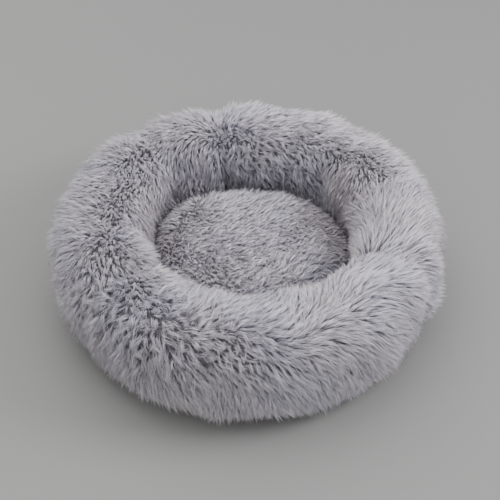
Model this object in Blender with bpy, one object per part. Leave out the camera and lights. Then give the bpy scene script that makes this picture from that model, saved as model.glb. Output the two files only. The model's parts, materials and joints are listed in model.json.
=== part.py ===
"""A round pet bed: a stuffed fur ring on a zipped base, with a loose fur cushion in its middle.

The frame has its origin on the floor under the middle of the bed, +Z up, and +Y towards the back.
Every length is in metres and every angle in degrees. The ring's cross-section is one rounded form,
stated by its centre, its half-widths and its exponent; the fur sleeve, the liner and the filling
are the same form at different depths, so they nest.
"""

import math

import bmesh
import bpy

# ---- the whole bed -------------------------------------------------------------------------------
RIM_OUTER_RADIUS = 0.290        # middle of the pile at the widest part of the ring
RIM_HEIGHT = 0.172              # middle of the pile on the crest
RIM_CORE_RADIUS = 0.220         # where the ring's cross-section has its centre
RIM_CORE_HEIGHT = 0.088
RIM_INNER_RADIUS = 0.150        # the narrowest part of the well
RIM_FOOT_DEPTH = 0.086          # from the core down to the lowest point the form would reach
ROUNDNESS = 2.9                 # exponent of the cross-section: 2 is an ellipse, more is squarer
CLEAR = 0.0003                  # gap between pieces that touch
CUT_REACH = 0.010               # how far a cutting tool goes past what it cuts
SHARP_EDGE = 40.0               # edges that turn by more than this stay crisp

# ---- how the sewn ring departs from a plain ring -------------------------------------------------
WELL_SHIFT = 0.011              # the well lies a little towards the back right
WELL_SHIFT_TOWARDS = 40.0
CORNER_ANGLE = 142.0            # the well and the cushion reach furthest out here
CORNER_WIDTH = 30.0
WELL_CORNER = 0.016
LOBE_SWELL = 0.004              # the ring is plumper between its seams than at them
PUCKERS = (                     # angle, depth: the inner wall is gathered at these places
    (18.0, 0.007), (48.0, 0.010), (72.0, 0.009), (102.0, 0.013), (132.0, 0.015),
    (186.0, 0.012), (216.0, 0.008), (264.0, 0.006), (300.0, 0.006), (336.0, 0.010),
)
PUCKER_WIDTH = 7.5
PUCKER_CREST_SHARE = 0.45       # a pucker also lowers the crest, by this share of its depth

# ---- fur sleeve, liner and filling ---------------------------------------------------------------
SEAM_ANGLES = (102.0, 216.0, 336.0)
PANEL_NAMES = ("fur_panel_back_left", "fur_panel_front", "fur_panel_right")
SEAM_GAP = 0.06                 # degrees taken off each end of a panel
PILE_DEPTH = 0.018              # backing cloth and the pile up to its middle
SLEEVE_FOOT_HEIGHT = 0.0082     # where the sleeve's outer edge meets the binding
LINER_WALL = 0.0012
NEST_EASE = 0.0010              # between the sleeve, the liner and the filling, which nest
ROUND_STEP = 6.0                # degrees round the ring between two sections; seams fall on a step
SECTION_STEP = 22.5             # degrees round a section between two points
SLIT_LENGTH = 0.110             # stuffing slit in the liner
SLIT_WIDTH = 0.006

# ---- base ----------------------------------------------------------------------------------------
BASE_RADIUS = 0.248
CLOTH = 0.0013
CONTACT_INNER_RADIUS = 0.205    # inside this the underside rises off the floor
RECESS_RADIUS = 0.185
RECESS_HEIGHT = 0.0070
WADDING_RADIUS = 0.2405
WADDING_TOP = 0.0200
WADDING_RECESS_HEIGHT = 0.0126
LINING_RADIUS = 0.168
LINING_THICKNESS = 0.0010
BINDING_INNER_RADIUS = 0.2412
BINDING_OUTER_RADIUS = 0.2535
BINDING_EDGE = 0.0012           # bevel of the tape's folded edges
DISC_STEPS = 48

# ---- zip -----------------------------------------------------------------------------------------
ZIP_LENGTH = 0.300
ZIP_SLOT_WIDTH = 0.0130
TAPE_WIDTH = 0.0140
TAPE_THICKNESS = 0.0006
TOOTH_ROW_WIDTH = 0.0026
TOOTH_ROW_THICKNESS = 0.0022
TOOTH_ROW_GAP = 0.0014          # between the two rows, where the slider's web runs
SLIDER_LENGTH = 0.0105
SLIDER_WIDTH = 0.0092
SLIDER_WALL = 0.0008
SLIDER_WEB = 0.0008
SLIDER_LIP = 0.0007
SLIDER_END_CLEARANCE = 0.0020
PULL_LENGTH = 0.026
PULL_WIDTH = 0.0062
PULL_THICKNESS = 0.0012
PULL_EYE = 0.0030
PULL_CORNER = 0.0016            # cut off each corner of the tab's free end
HINGE_EASE = 0.0002             # between the tab's cross-bar and the slider's plate
BAIL_WIDTH = 0.0022
BAIL_WALL = 0.0009
STOP_LENGTH = 0.0030

# ---- loose cushion -------------------------------------------------------------------------------
CUSHION_CENTRE = (0.008, 0.006)
CUSHION_RADIUS = 0.1475
CUSHION_TOP = 0.0840
CUSHION_PILE_DEPTH = 0.0110
CUSHION_WAIST_HEIGHT = 0.0600
CUSHION_ROUNDNESS = 4.2
CUSHION_CORNER = 0.095          # how much wider it is at the well's corner, as a share of its radius
CUSHION_FORM_FOOT = 0.004       # where the rounded form would end if it were not cut off at its seam
CUSHION_STEPS = 40
CUSHION_SECTION_STEPS = 8

# ---- care label ----------------------------------------------------------------------------------
LABEL_ANGLE = 76.0
LABEL_WIDTH = 0.030
LABEL_THICKNESS = 0.0006
LABEL_DROP = 0.018

MATERIALS = {                   # colour, roughness, metallic
    "fur": ((0.40, 0.39, 0.45), 0.85, 0.0),
    "cushion_fur": ((0.42, 0.41, 0.47), 0.85, 0.0),
    "liner_cloth": ((0.78, 0.78, 0.78), 0.90, 0.0),
    "fibre_filling": ((0.90, 0.90, 0.88), 1.00, 0.0),
    "base_cloth": ((0.16, 0.16, 0.19), 0.80, 0.0),
    "lining_cloth": ((0.38, 0.37, 0.42), 0.90, 0.0),
    "binding_tape": ((0.30, 0.30, 0.35), 0.85, 0.0),
    "zip_tape": ((0.30, 0.30, 0.34), 0.85, 0.0),
    "zip_coil": ((0.34, 0.34, 0.38), 0.45, 0.0),
    "zip_metal": ((0.45, 0.45, 0.48), 0.35, 1.0),
    "label_satin": ((0.86, 0.86, 0.84), 0.60, 0.0),
}


# ---- shared tools --------------------------------------------------------------------------------
def clear_scene():
    """Remove whatever the file holds."""
    for thing in list(bpy.data.objects):
        bpy.data.objects.remove(thing, do_unlink=True)


def material(name):
    """The named finish, made once."""
    found = bpy.data.materials.get(name)
    if found is not None:
        return found
    colour, roughness, metallic = MATERIALS[name]
    made = bpy.data.materials.new(name)
    made.use_nodes = True
    shader = made.node_tree.nodes["Principled BSDF"]
    shader.inputs["Base Color"].default_value = (*colour, 1.0)
    shader.inputs["Roughness"].default_value = roughness
    shader.inputs["Metallic"].default_value = metallic
    return made


def add_object(name, bm, finish, round_piece=True):
    """Turn a finished bmesh into a named object with its finish."""
    bmesh.ops.recalc_face_normals(bm, faces=bm.faces)
    mesh = bpy.data.meshes.new(name)
    bm.to_mesh(mesh)
    bm.free()
    mesh.materials.append(material(finish))
    if round_piece:
        mesh.shade_smooth()
        mesh.set_sharp_from_angle(angle=math.radians(SHARP_EDGE))
    thing = bpy.data.objects.new(name, mesh)
    bpy.context.scene.collection.objects.link(thing)
    return thing


def polar(radius, angle, height, centre=(0.0, 0.0)):
    """A point by its radius, its angle in degrees and its height."""
    turn = math.radians(angle)
    return (centre[0] + radius * math.cos(turn), centre[1] + radius * math.sin(turn), height)


def corner_share(angle):
    """1 at the well's corner, falling to 0 away from it."""
    away = (angle - CORNER_ANGLE + 180.0) % 360.0 - 180.0
    return math.exp(-((away / CORNER_WIDTH) ** 2))


def power(value, exponent):
    """A power that keeps the sign, for rounded squares."""
    return math.copysign(abs(value) ** exponent, value)


def box(name, low, high, finish):
    """A plain box between two corners."""
    bm = bmesh.new()
    bmesh.ops.create_cube(bm, size=1.0)
    for vertex in bm.verts:
        for axis in range(3):
            middle = (low[axis] + high[axis]) / 2
            vertex.co[axis] = middle + vertex.co[axis] * (high[axis] - low[axis])
    return add_object(name, bm, finish, round_piece=False)


def cutter(thing):
    """Mark an object as a tool that only cuts."""
    thing.hide_render = True
    thing.display_type = "WIRE"
    return thing


def boolean(thing, tool, operation="DIFFERENCE"):
    """Cut or join with another object, by Blender's exact solver."""
    step = thing.modifiers.new(operation.lower(), "BOOLEAN")
    step.operation = operation
    step.solver = "EXACT"
    step.object = cutter(tool)


def turned(name, outline, finish, steps, centre=(0.0, 0.0), corner=0.0):
    """Turn a closed outline of (radius, height) about the vertical line through the centre.

    Outline points at radius 0 become one shared vertex, so the piece is closed at its middle.
    The piece is wider by the share "corner" where the well has its corner.
    """
    bm = bmesh.new()
    rings = []
    for radius, height in outline:
        if radius <= 0.0:
            rings.append([bm.verts.new((centre[0], centre[1], height))] * steps)
        else:
            ring = []
            for turn in range(steps):
                angle = 360.0 * turn / steps
                wide = radius * (1.0 + corner * corner_share(angle))
                ring.append(bm.verts.new(polar(wide, angle, height, centre)))
            rings.append(ring)
    for row, ring in enumerate(rings):
        following = rings[(row + 1) % len(rings)]
        if ring[0] is ring[1] and following[0] is following[1]:
            continue
        for turn in range(steps):
            after = (turn + 1) % steps
            corners = [ring[turn], ring[after], following[after], following[turn]]
            bm.faces.new(list(dict.fromkeys(corners)))
    return add_object(name, bm, finish)


def extruded_along_x(name, outline, start, end, finish):
    """Push a closed outline of (y, z) along X."""
    bm = bmesh.new()
    near = [bm.verts.new((start, y, z)) for y, z in outline]
    far = [bm.verts.new((end, y, z)) for y, z in outline]
    bm.faces.new(near)
    bm.faces.new(list(reversed(far)))
    for index in range(len(outline)):
        after = (index + 1) % len(outline)
        bm.faces.new((near[index], near[after], far[after], far[index]))
    return add_object(name, bm, finish, round_piece=False)


# ---- form of the ring ----------------------------------------------------------------------------
def pucker(angle):
    """How deep the inner wall is gathered at an angle."""
    total = 0.0
    for place, depth in PUCKERS:
        away = (angle - place + 180.0) % 360.0 - 180.0
        total += depth * math.exp(-((away / PUCKER_WIDTH) ** 2))
    return total


def lobe(angle):
    """1 midway between two cross seams, and 0 on a seam."""
    for index, start in enumerate(SEAM_ANGLES):
        span = (SEAM_ANGLES[(index + 1) % len(SEAM_ANGLES)] - start) % 360.0
        along = (angle - start) % 360.0
        if along <= span:
            return math.sin(math.pi * along / span)
    return 0.0


def ring_section(angle, turn, depth):
    """A point (radius, height) of the ring's cross-section.

    angle is the place round the ring, turn goes round the section from the outside (0) over the
    crest (90) to the well (180), and depth is how far inside the pile's middle the point lies.
    """
    across = power(math.cos(math.radians(turn)), 2 / ROUNDNESS)
    up = power(math.sin(math.radians(turn)), 2 / ROUNDNESS)
    gather = pucker(angle)
    swell = LOBE_SWELL * (lobe(angle) - 0.5)
    if across >= 0:
        half = RIM_OUTER_RADIUS + swell - RIM_CORE_RADIUS
    else:
        shift = WELL_SHIFT * math.cos(math.radians(angle - WELL_SHIFT_TOWARDS))
        corner = WELL_CORNER * corner_share(angle)
        half = RIM_CORE_RADIUS - (RIM_INNER_RADIUS + shift + corner + gather)
    tall = RIM_FOOT_DEPTH
    if up >= 0:
        tall = RIM_HEIGHT + swell - PUCKER_CREST_SHARE * gather - RIM_CORE_HEIGHT
    radius = RIM_CORE_RADIUS + (half - depth) * across
    height = RIM_CORE_HEIGHT + (tall - depth) * up
    return radius, height


def section_turn(height):
    """How many degrees below level the outer form passes a height under the ring's core."""
    share = (RIM_CORE_HEIGHT - height) / RIM_FOOT_DEPTH
    return math.degrees(math.asin(share ** (ROUNDNESS / 2)))


def sweep(bm, loops, closed):
    """Faces between rings of vertices, and back to the first ring where the form is closed."""
    pairs = list(zip(loops, loops[1:]))
    if closed:
        pairs.append((loops[-1], loops[0]))
    for first, second in pairs:
        for index in range(len(first)):
            after = (index + 1) % len(first)
            bm.faces.new((first[index], first[after], second[after], second[index]))


def fur_panel(name, start, span):
    """One panel of the fur sleeve: a thick shell over the ring, open underneath."""
    outer_foot = section_turn(SLEEVE_FOOT_HEIGHT)
    inner_foot = section_turn(WADDING_TOP + LINING_THICKNESS + 3 * CLEAR)
    whole_steps = range(math.ceil(-outer_foot / SECTION_STEP),
                        math.floor((180.0 + inner_foot) / SECTION_STEP) + 1)
    turns = [-outer_foot] + [step * SECTION_STEP for step in whole_steps] + [180.0 + inner_foot]
    bm = bmesh.new()
    loops = []
    steps = round(span / ROUND_STEP)
    for step in range(steps + 1):
        angle = start + ROUND_STEP * step
        angle += SEAM_GAP * ((step == 0) - (step == steps))
        outline = [ring_section(angle, turn, 0.0) for turn in turns]
        outline += [ring_section(angle, turn, PILE_DEPTH) for turn in reversed(turns)]
        loops.append([bm.verts.new(polar(radius, angle, height)) for radius, height in outline])
    sweep(bm, loops, closed=False)
    count = len(loops[0])
    for loop in (loops[0], loops[-1]):
        for index in range(count // 2 - 1):
            bm.faces.new((loop[index], loop[index + 1], loop[count - 2 - index], loop[count - 1 - index]))
    return add_object(name, bm, "fur")


def fur_sleeve():
    """The three fur panels, seam to seam."""
    for index, name in enumerate(PANEL_NAMES):
        start = SEAM_ANGLES[index]
        span = (SEAM_ANGLES[(index + 1) % len(SEAM_ANGLES)] - start) % 360.0
        fur_panel(name, start, span)


def tube(name, depth, foot, finish):
    """A whole tube at a depth inside the sleeve, pressed flat at a foot height."""
    bm = bmesh.new()
    loops = []
    for step in range(round(360.0 / ROUND_STEP)):
        angle = ROUND_STEP * step
        loop = []
        for part in range(round(360.0 / SECTION_STEP)):
            radius, height = ring_section(angle, SECTION_STEP * part, depth)
            loop.append(bm.verts.new(polar(radius, angle, max(height, foot))))
        loops.append(loop)
    sweep(bm, loops, closed=True)
    return add_object(name, bm, finish)


def rim_liner():
    """The plain inner tube, with the slit that the fibre goes in by."""
    depth = PILE_DEPTH + NEST_EASE
    foot = WADDING_TOP + CLEAR
    shell = tube("rim_liner", depth, foot, "liner_cloth")
    boolean(shell, tube("liner_hollow", depth + LINER_WALL, foot + LINER_WALL, "liner_cloth"))
    low = (RIM_CORE_RADIUS - SLIT_WIDTH / 2, -SLIT_LENGTH / 2, 0.0)
    high = (RIM_CORE_RADIUS + SLIT_WIDTH / 2, SLIT_LENGTH / 2, RIM_CORE_HEIGHT / 2)
    boolean(shell, box("liner_slit", low, high, "liner_cloth"))


def rim_filling():
    """The fibre that fills the liner."""
    depth = PILE_DEPTH + LINER_WALL + 2 * NEST_EASE
    tube("rim_filling", depth, WADDING_TOP + LINER_WALL + NEST_EASE, "fibre_filling")


# ---- base ----------------------------------------------------------------------------------------
def base_fabric():
    """The underside cloth in two halves, flat on the floor at its rim and raised in the middle."""
    outline = ((0.0, RECESS_HEIGHT), (RECESS_RADIUS, RECESS_HEIGHT), (CONTACT_INNER_RADIUS, 0.0),
               (BASE_RADIUS, 0.0), (BASE_RADIUS, CLOTH), (CONTACT_INNER_RADIUS, CLOTH),
               (RECESS_RADIUS, RECESS_HEIGHT + CLOTH), (0.0, RECESS_HEIGHT + CLOTH))
    reach = BASE_RADIUS + CUT_REACH
    top = RECESS_HEIGHT + CLOTH + CUT_REACH
    slot = ZIP_LENGTH / 2
    gap = ZIP_SLOT_WIDTH / 2
    for name, side in (("base_fabric_front", -1), ("base_fabric_back", 1)):
        half = turned(name, outline, "base_cloth", DISC_STEPS)
        low_y, high_y = sorted((side * CLEAR / 2, -side * reach))
        other = box(name + "_other_half", (-reach, low_y, -CUT_REACH), (reach, high_y, top), "base_cloth")
        boolean(half, other)
        boolean(half, box(name + "_zip_slot", (-slot, -gap, -CUT_REACH), (slot, gap, top), "base_cloth"))


def base_wadding():
    """The pad inside the base, hollowed underneath over the zip."""
    bottom = CLOTH + CLEAR
    turned("base_wadding", ((0.0, WADDING_RECESS_HEIGHT), (RECESS_RADIUS, WADDING_RECESS_HEIGHT),
                            (CONTACT_INNER_RADIUS, bottom), (WADDING_RADIUS, bottom),
                            (WADDING_RADIUS, WADDING_TOP), (0.0, WADDING_TOP)),
           "fibre_filling", DISC_STEPS)


def floor_lining():
    """The cloth floor of the well, which the cushion lies on."""
    low = WADDING_TOP + CLEAR
    high = low + LINING_THICKNESS
    turned("floor_lining", ((0.0, low), (LINING_RADIUS, low), (LINING_RADIUS, high), (0.0, high)),
           "lining_cloth", DISC_STEPS)


def base_binding():
    """The tape that binds the edge where the fur sleeve meets the underside."""
    low = CLOTH + CLEAR
    high = SLEEVE_FOOT_HEIGHT - 4 * CLEAR
    turned("base_binding", ((BINDING_INNER_RADIUS, low), (BINDING_OUTER_RADIUS - BINDING_EDGE, low),
                            (BINDING_OUTER_RADIUS, low + BINDING_EDGE),
                            (BINDING_OUTER_RADIUS, high - BINDING_EDGE),
                            (BINDING_OUTER_RADIUS - BINDING_EDGE, high), (BINDING_INNER_RADIUS, high)),
           "binding_tape", DISC_STEPS)


def care_label():
    """A blank label that hangs from the binding at the back."""
    bm = bmesh.new()
    bmesh.ops.create_cube(bm, size=1.0)
    turn = math.radians(LABEL_ANGLE)
    top = SLEEVE_FOOT_HEIGHT - 4 * CLEAR
    inner = BINDING_OUTER_RADIUS + CLEAR
    for vertex in bm.verts:
        out = inner + LABEL_THICKNESS / 2 + vertex.co.x * LABEL_THICKNESS
        out += LABEL_DROP * (0.5 - vertex.co.z)
        side = vertex.co.y * LABEL_WIDTH
        height = top / 2 + vertex.co.z * LABEL_THICKNESS
        vertex.co = (out * math.cos(turn) - side * math.sin(turn),
                     out * math.sin(turn) + side * math.cos(turn), height)
    return add_object("care_label", bm, "label_satin", round_piece=False)


# ---- zip -----------------------------------------------------------------------------------------
TAPE_LOW = RECESS_HEIGHT + CLOTH + CLEAR
TAPE_HIGH = TAPE_LOW + TAPE_THICKNESS
TOOTH_MIDDLE = (TAPE_LOW + TAPE_HIGH) / 2
TOOTH_LOW = TOOTH_MIDDLE - TOOTH_ROW_THICKNESS / 2
TOOTH_HIGH = TOOTH_MIDDLE + TOOTH_ROW_THICKNESS / 2
CLOSED_END = ZIP_LENGTH / 2 - STOP_LENGTH - SLIDER_END_CLEARANCE
OPEN_END = -CLOSED_END + SLIDER_LENGTH
HINGE_HEIGHT = TOOTH_LOW - CLEAR - SLIDER_WALL - BAIL_WIDTH / 2 - HINGE_EASE


def zip_tapes_and_teeth():
    """The two tapes, and the tooth row on the inner edge of each."""
    end = ZIP_LENGTH / 2
    tooth_outer = TOOTH_ROW_GAP / 2 + TOOTH_ROW_WIDTH
    for name, side in (("front", -1), ("back", 1)):
        inner = tooth_outer + CLEAR
        low_y, high_y = sorted((side * inner, side * (inner + TAPE_WIDTH)))
        box("zip_tape_" + name, (-end, low_y, TAPE_LOW), (end, high_y, TAPE_HIGH), "zip_tape")
        low_y, high_y = sorted((side * TOOTH_ROW_GAP / 2, side * tooth_outer))
        box("zip_teeth_" + name, (-end + STOP_LENGTH, low_y, TOOTH_LOW),
            (end - STOP_LENGTH, high_y, TOOTH_HIGH), "zip_coil")


def zip_stops():
    """The stop clamped at each end of the tooth rows."""
    end = ZIP_LENGTH / 2
    half = TOOTH_ROW_GAP / 2 + TOOTH_ROW_WIDTH
    for name, near in (("zip_top_stop", end - STOP_LENGTH + CLEAR), ("zip_bottom_stop", -end)):
        far = near + STOP_LENGTH - CLEAR
        box(name, (near, -half, TOOTH_LOW - CLEAR), (far, half, TOOTH_HIGH + CLEAR), "zip_metal")


def slider_outline():
    """The slider's section across the zip: two plates, the web between the rows, and four lips."""
    half = SLIDER_WIDTH / 2
    web = SLIDER_WEB / 2
    inner = half - SLIDER_WALL
    low = TOOTH_LOW - CLEAR
    high = TOOTH_HIGH + CLEAR
    right = [(half, low - SLIDER_WALL), (half, low + SLIDER_LIP), (inner, low + SLIDER_LIP),
             (inner, low), (web, low), (web, high), (inner, high), (inner, high - SLIDER_LIP),
             (half, high - SLIDER_LIP), (half, high + SLIDER_WALL)]
    left = [(-y, z) for y, z in reversed(right)]
    return right + left


def zip_slider():
    """The slider, with the bail that its pull hangs on."""
    front = CLOSED_END
    back = front - SLIDER_LENGTH
    slider = extruded_along_x("zip_slider", slider_outline(), back, front, "zip_metal")
    hinge_x = (front + back) / 2
    plate = TOOTH_LOW - CLEAR - SLIDER_WALL / 2
    drop = HINGE_HEIGHT - PULL_THICKNESS / 2 - CLEAR
    half = PULL_EYE / 2 + BAIL_WALL
    wide = BAIL_WIDTH / 2
    bail = box("bail_outside", (hinge_x - half, -wide, drop - BAIL_WALL),
               (hinge_x + half, wide, plate), "zip_metal")
    reach = half - BAIL_WALL
    eye = box("bail_eye", (hinge_x - reach, -BAIL_WIDTH, drop),
              (hinge_x + reach, BAIL_WIDTH, TOOTH_LOW - CLEAR - SLIDER_WALL), "zip_metal")
    boolean(bail, eye)
    boolean(slider, bail, "UNION")
    origin_to(slider, (hinge_x, 0.0, TOOTH_MIDDLE))
    return hinge_x


def origin_to(thing, place):
    """Move an object's origin without moving its shape."""
    for vertex in thing.data.vertices:
        vertex.co = [vertex.co[axis] - place[axis] for axis in range(3)]
    thing.location = place


def zip_pull(hinge_x):
    """The flat pull tab, folded back under the slider, with its cross-bar through the bail."""
    low = HINGE_HEIGHT - PULL_THICKNESS / 2
    high = HINGE_HEIGHT + PULL_THICKNESS / 2
    bar = PULL_THICKNESS / 2
    wide = PULL_WIDTH / 2
    bm = bmesh.new()
    inner = BAIL_WIDTH / 2 + 2 * CLEAR
    window = PULL_EYE / 2 + BAIL_WALL + 3 * CLEAR
    tail = hinge_x - PULL_LENGTH
    outside = [(hinge_x + bar, -wide), (hinge_x + bar, wide), (tail + PULL_CORNER, wide),
               (tail, wide - PULL_CORNER), (tail, -wide + PULL_CORNER), (tail + PULL_CORNER, -wide)]
    hole = [(hinge_x - bar, -inner), (hinge_x - bar, inner), (hinge_x - window, inner),
            (hinge_x - window, -inner)]
    for height, offset in ((low, 0), (high, 1)):
        for x, y in outside + hole:
            bm.verts.new((x, y, height))
    bm.verts.ensure_lookup_table()
    count = len(outside) + len(hole)
    rim = len(outside)
    caps = ((0, 1, 7, 6), (1, 2, 8, 7), (2, 3, 4, 5, 9, 8), (5, 0, 6, 9))
    for base in (0, count):
        for cap in caps:
            bm.faces.new([bm.verts[base + index] for index in cap])
    for start, length in ((0, rim), (rim, len(hole))):
        for index in range(length):
            after = start + (index + 1) % length
            first = start + index
            bm.faces.new([bm.verts[first], bm.verts[after], bm.verts[count + after],
                          bm.verts[count + first]])
    tab = add_object("zip_pull_tab", bm, "zip_metal", round_piece=False)
    origin_to(tab, (hinge_x, 0.0, HINGE_HEIGHT))


# ---- loose cushion -------------------------------------------------------------------------------
CUSHION_FOOT = WADDING_TOP + CLEAR + LINING_THICKNESS + CLEAR


def cushion_arc(depth, foot):
    """The cushion's outline (radius, height) from its foot at the rim to the middle of its dome."""
    points = []
    above = CUSHION_TOP - CUSHION_WAIST_HEIGHT
    below = CUSHION_WAIST_HEIGHT - CUSHION_FORM_FOOT
    share = (CUSHION_WAIST_HEIGHT - foot) / below
    lowest = math.degrees(math.asin(share ** (CUSHION_ROUNDNESS / 2)))
    for step in range(CUSHION_SECTION_STEPS + 1):
        turn = -lowest + (90.0 + lowest) * step / CUSHION_SECTION_STEPS
        across = power(max(math.cos(math.radians(turn)), 0.0), 2 / CUSHION_ROUNDNESS)
        up = power(math.sin(math.radians(turn)), 2 / CUSHION_ROUNDNESS)
        tall = above - depth if up >= 0 else below
        points.append(((CUSHION_RADIUS - depth) * across, CUSHION_WAIST_HEIGHT + tall * up))
    points[-1] = (0.0, points[-1][1])
    return points


def cushion():
    """The loose cushion: fur top, plain underside cloth and filling."""
    cloth_top = CUSHION_FOOT + CLOTH
    outside = cushion_arc(0.0, cloth_top + CLEAR)
    inside = cushion_arc(CUSHION_PILE_DEPTH, cloth_top + CLEAR)
    turned("cushion_fur_top", outside + inside[::-1], "cushion_fur", CUSHION_STEPS, CUSHION_CENTRE,
           CUSHION_CORNER)
    stuffed = cushion_arc(CUSHION_PILE_DEPTH + CLEAR, cloth_top + CLEAR)
    turned("cushion_filling", stuffed + [(0.0, stuffed[0][1])], "fibre_filling", CUSHION_STEPS,
           CUSHION_CENTRE, CUSHION_CORNER)
    edge = outside[0][0]
    turned("cushion_base_cloth", ((0.0, CUSHION_FOOT), (edge, CUSHION_FOOT), (edge, cloth_top),
                                  (0.0, cloth_top)), "lining_cloth", CUSHION_STEPS, CUSHION_CENTRE,
           CUSHION_CORNER)


def main():
    """Build the bed."""
    clear_scene()
    fur_sleeve()
    rim_liner()
    rim_filling()
    base_fabric()
    base_wadding()
    floor_lining()
    base_binding()
    care_label()
    zip_tapes_and_teeth()
    zip_stops()
    zip_pull(zip_slider())
    cushion()


main()
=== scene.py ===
"""Round fur pet bed: the looks of its rim, loose cushion, zipped base and label, on a pale floor.

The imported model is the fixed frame. Each sub-assembly below is a class that reads its place from that
frame, builds its own meshes, and dresses them in a finish. The fur is grown by one Geometry Nodes tree
on padded skins that a short cloth simulation has filled out.
"""
from __future__ import annotations

import json
import logging
import math
from collections.abc import Iterable, Sequence
from dataclasses import dataclass, field
from enum import Enum

import bmesh
import bpy
import numpy as np
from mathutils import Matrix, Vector
from mathutils.bvhtree import BVHTree

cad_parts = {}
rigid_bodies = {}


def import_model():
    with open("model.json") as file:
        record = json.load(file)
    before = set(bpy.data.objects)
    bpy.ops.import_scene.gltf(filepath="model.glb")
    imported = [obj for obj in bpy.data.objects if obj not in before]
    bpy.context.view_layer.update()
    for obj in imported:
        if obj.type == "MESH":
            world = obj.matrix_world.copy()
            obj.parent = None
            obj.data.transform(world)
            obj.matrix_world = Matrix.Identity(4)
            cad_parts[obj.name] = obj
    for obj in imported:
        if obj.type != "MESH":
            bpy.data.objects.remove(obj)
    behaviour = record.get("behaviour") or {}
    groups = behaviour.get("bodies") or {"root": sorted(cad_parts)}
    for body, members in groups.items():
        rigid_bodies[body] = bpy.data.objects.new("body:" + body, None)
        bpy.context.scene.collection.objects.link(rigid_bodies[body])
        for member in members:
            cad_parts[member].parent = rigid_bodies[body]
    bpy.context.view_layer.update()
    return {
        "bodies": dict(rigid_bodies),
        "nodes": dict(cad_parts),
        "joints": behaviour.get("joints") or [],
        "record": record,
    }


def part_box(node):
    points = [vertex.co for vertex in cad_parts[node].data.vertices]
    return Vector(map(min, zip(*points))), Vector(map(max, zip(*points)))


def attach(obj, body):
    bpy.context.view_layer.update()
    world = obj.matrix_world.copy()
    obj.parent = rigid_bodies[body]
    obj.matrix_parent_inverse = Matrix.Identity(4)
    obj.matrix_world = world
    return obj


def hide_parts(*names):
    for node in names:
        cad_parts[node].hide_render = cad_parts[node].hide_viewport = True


LOG = logging.getLogger("pet_bed")
MERGE = 0.00005
Colour = tuple[float, float, float]
Point = tuple[float, float, float]
Spot = tuple[float, float]


class Body(Enum):
    """The bodies of the frame that pieces ride on."""

    BED = "bed"
    CUSHION = "cushion"
    ZIP_SLIDER = "zip_slider"
    ZIP_PULL = "zip_pull"


# ---- node trees ----------------------------------------------------------------------------------
@dataclass(frozen=True, eq=False)
class Wire:
    """One output socket of a tree, whose operators add Math or Vector Math nodes."""

    graph: Graph
    socket: bpy.types.NodeSocket

    def _joined(self, operation: str, first: Operand, second: Operand) -> Wire:
        """Add one maths node.

        Args:
            operation: Blender's name for the sum.
            first: left operand.
            second: right operand.

        Returns:
            The node's result.
        """
        vectors = any(isinstance(side, tuple) or (isinstance(side, Wire) and side.socket.type == "VECTOR")
                      for side in (first, second))
        kind = "ShaderNodeVectorMath" if vectors else "ShaderNodeMath"
        sides = [(side,) * 3 if vectors and isinstance(side, (int, float)) else side
                 for side in (first, second)]
        return self.graph.add(kind, {"operation": operation}, dict(enumerate(sides)))

    def __add__(self, other: Operand) -> Wire:
        """Sum."""
        return self._joined("ADD", self, other)

    def __radd__(self, other: Operand) -> Wire:
        """Sum with a plain value on the left."""
        return self._joined("ADD", other, self)

    def __sub__(self, other: Operand) -> Wire:
        """Difference."""
        return self._joined("SUBTRACT", self, other)

    def __rsub__(self, other: Operand) -> Wire:
        """Difference from a plain value."""
        return self._joined("SUBTRACT", other, self)

    def __mul__(self, other: Operand) -> Wire:
        """Product."""
        return self._joined("MULTIPLY", self, other)

    def __rmul__(self, other: Operand) -> Wire:
        """Product with a plain value on the left."""
        return self._joined("MULTIPLY", other, self)

    def __truediv__(self, other: Operand) -> Wire:
        """Quotient."""
        return self._joined("DIVIDE", self, other)

    def __pow__(self, other: Operand) -> Wire:
        """Power."""
        return self._joined("POWER", self, other)

    def at_least(self, other: Operand) -> Wire:
        """The larger of two values."""
        return self._joined("MAXIMUM", self, other)

    def at_most(self, other: Operand) -> Wire:
        """The smaller of two values."""
        return self._joined("MINIMUM", self, other)

    def cross(self, other: Operand) -> Wire:
        """Cross product."""
        return self._joined("CROSS_PRODUCT", self, other)

    def dot(self, other: Operand) -> Wire:
        """Dot product."""
        return self.graph.add("ShaderNodeVectorMath", {"operation": "DOT_PRODUCT"},
                              {0: self, 1: other}, "Value")

    def sine(self) -> Wire:
        """Sine."""
        return self.graph.add("ShaderNodeMath", {"operation": "SINE"}, {0: self})

    def remainder(self, other: Operand) -> Wire:
        """What is left after division."""
        return self._joined("FLOORED_MODULO", self, other)

    def unit(self) -> Wire:
        """The same direction at length one."""
        return self.graph.add("ShaderNodeVectorMath", {"operation": "NORMALIZE"}, {0: self})

    def parts(self) -> tuple[Wire, Wire, Wire]:
        """The vector's three numbers."""
        node = self.graph.node("ShaderNodeSeparateXYZ", {}, {0: self})
        return tuple(Wire(self.graph, node.outputs[axis]) for axis in range(3))


Operand = Wire | float | int | tuple


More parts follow.
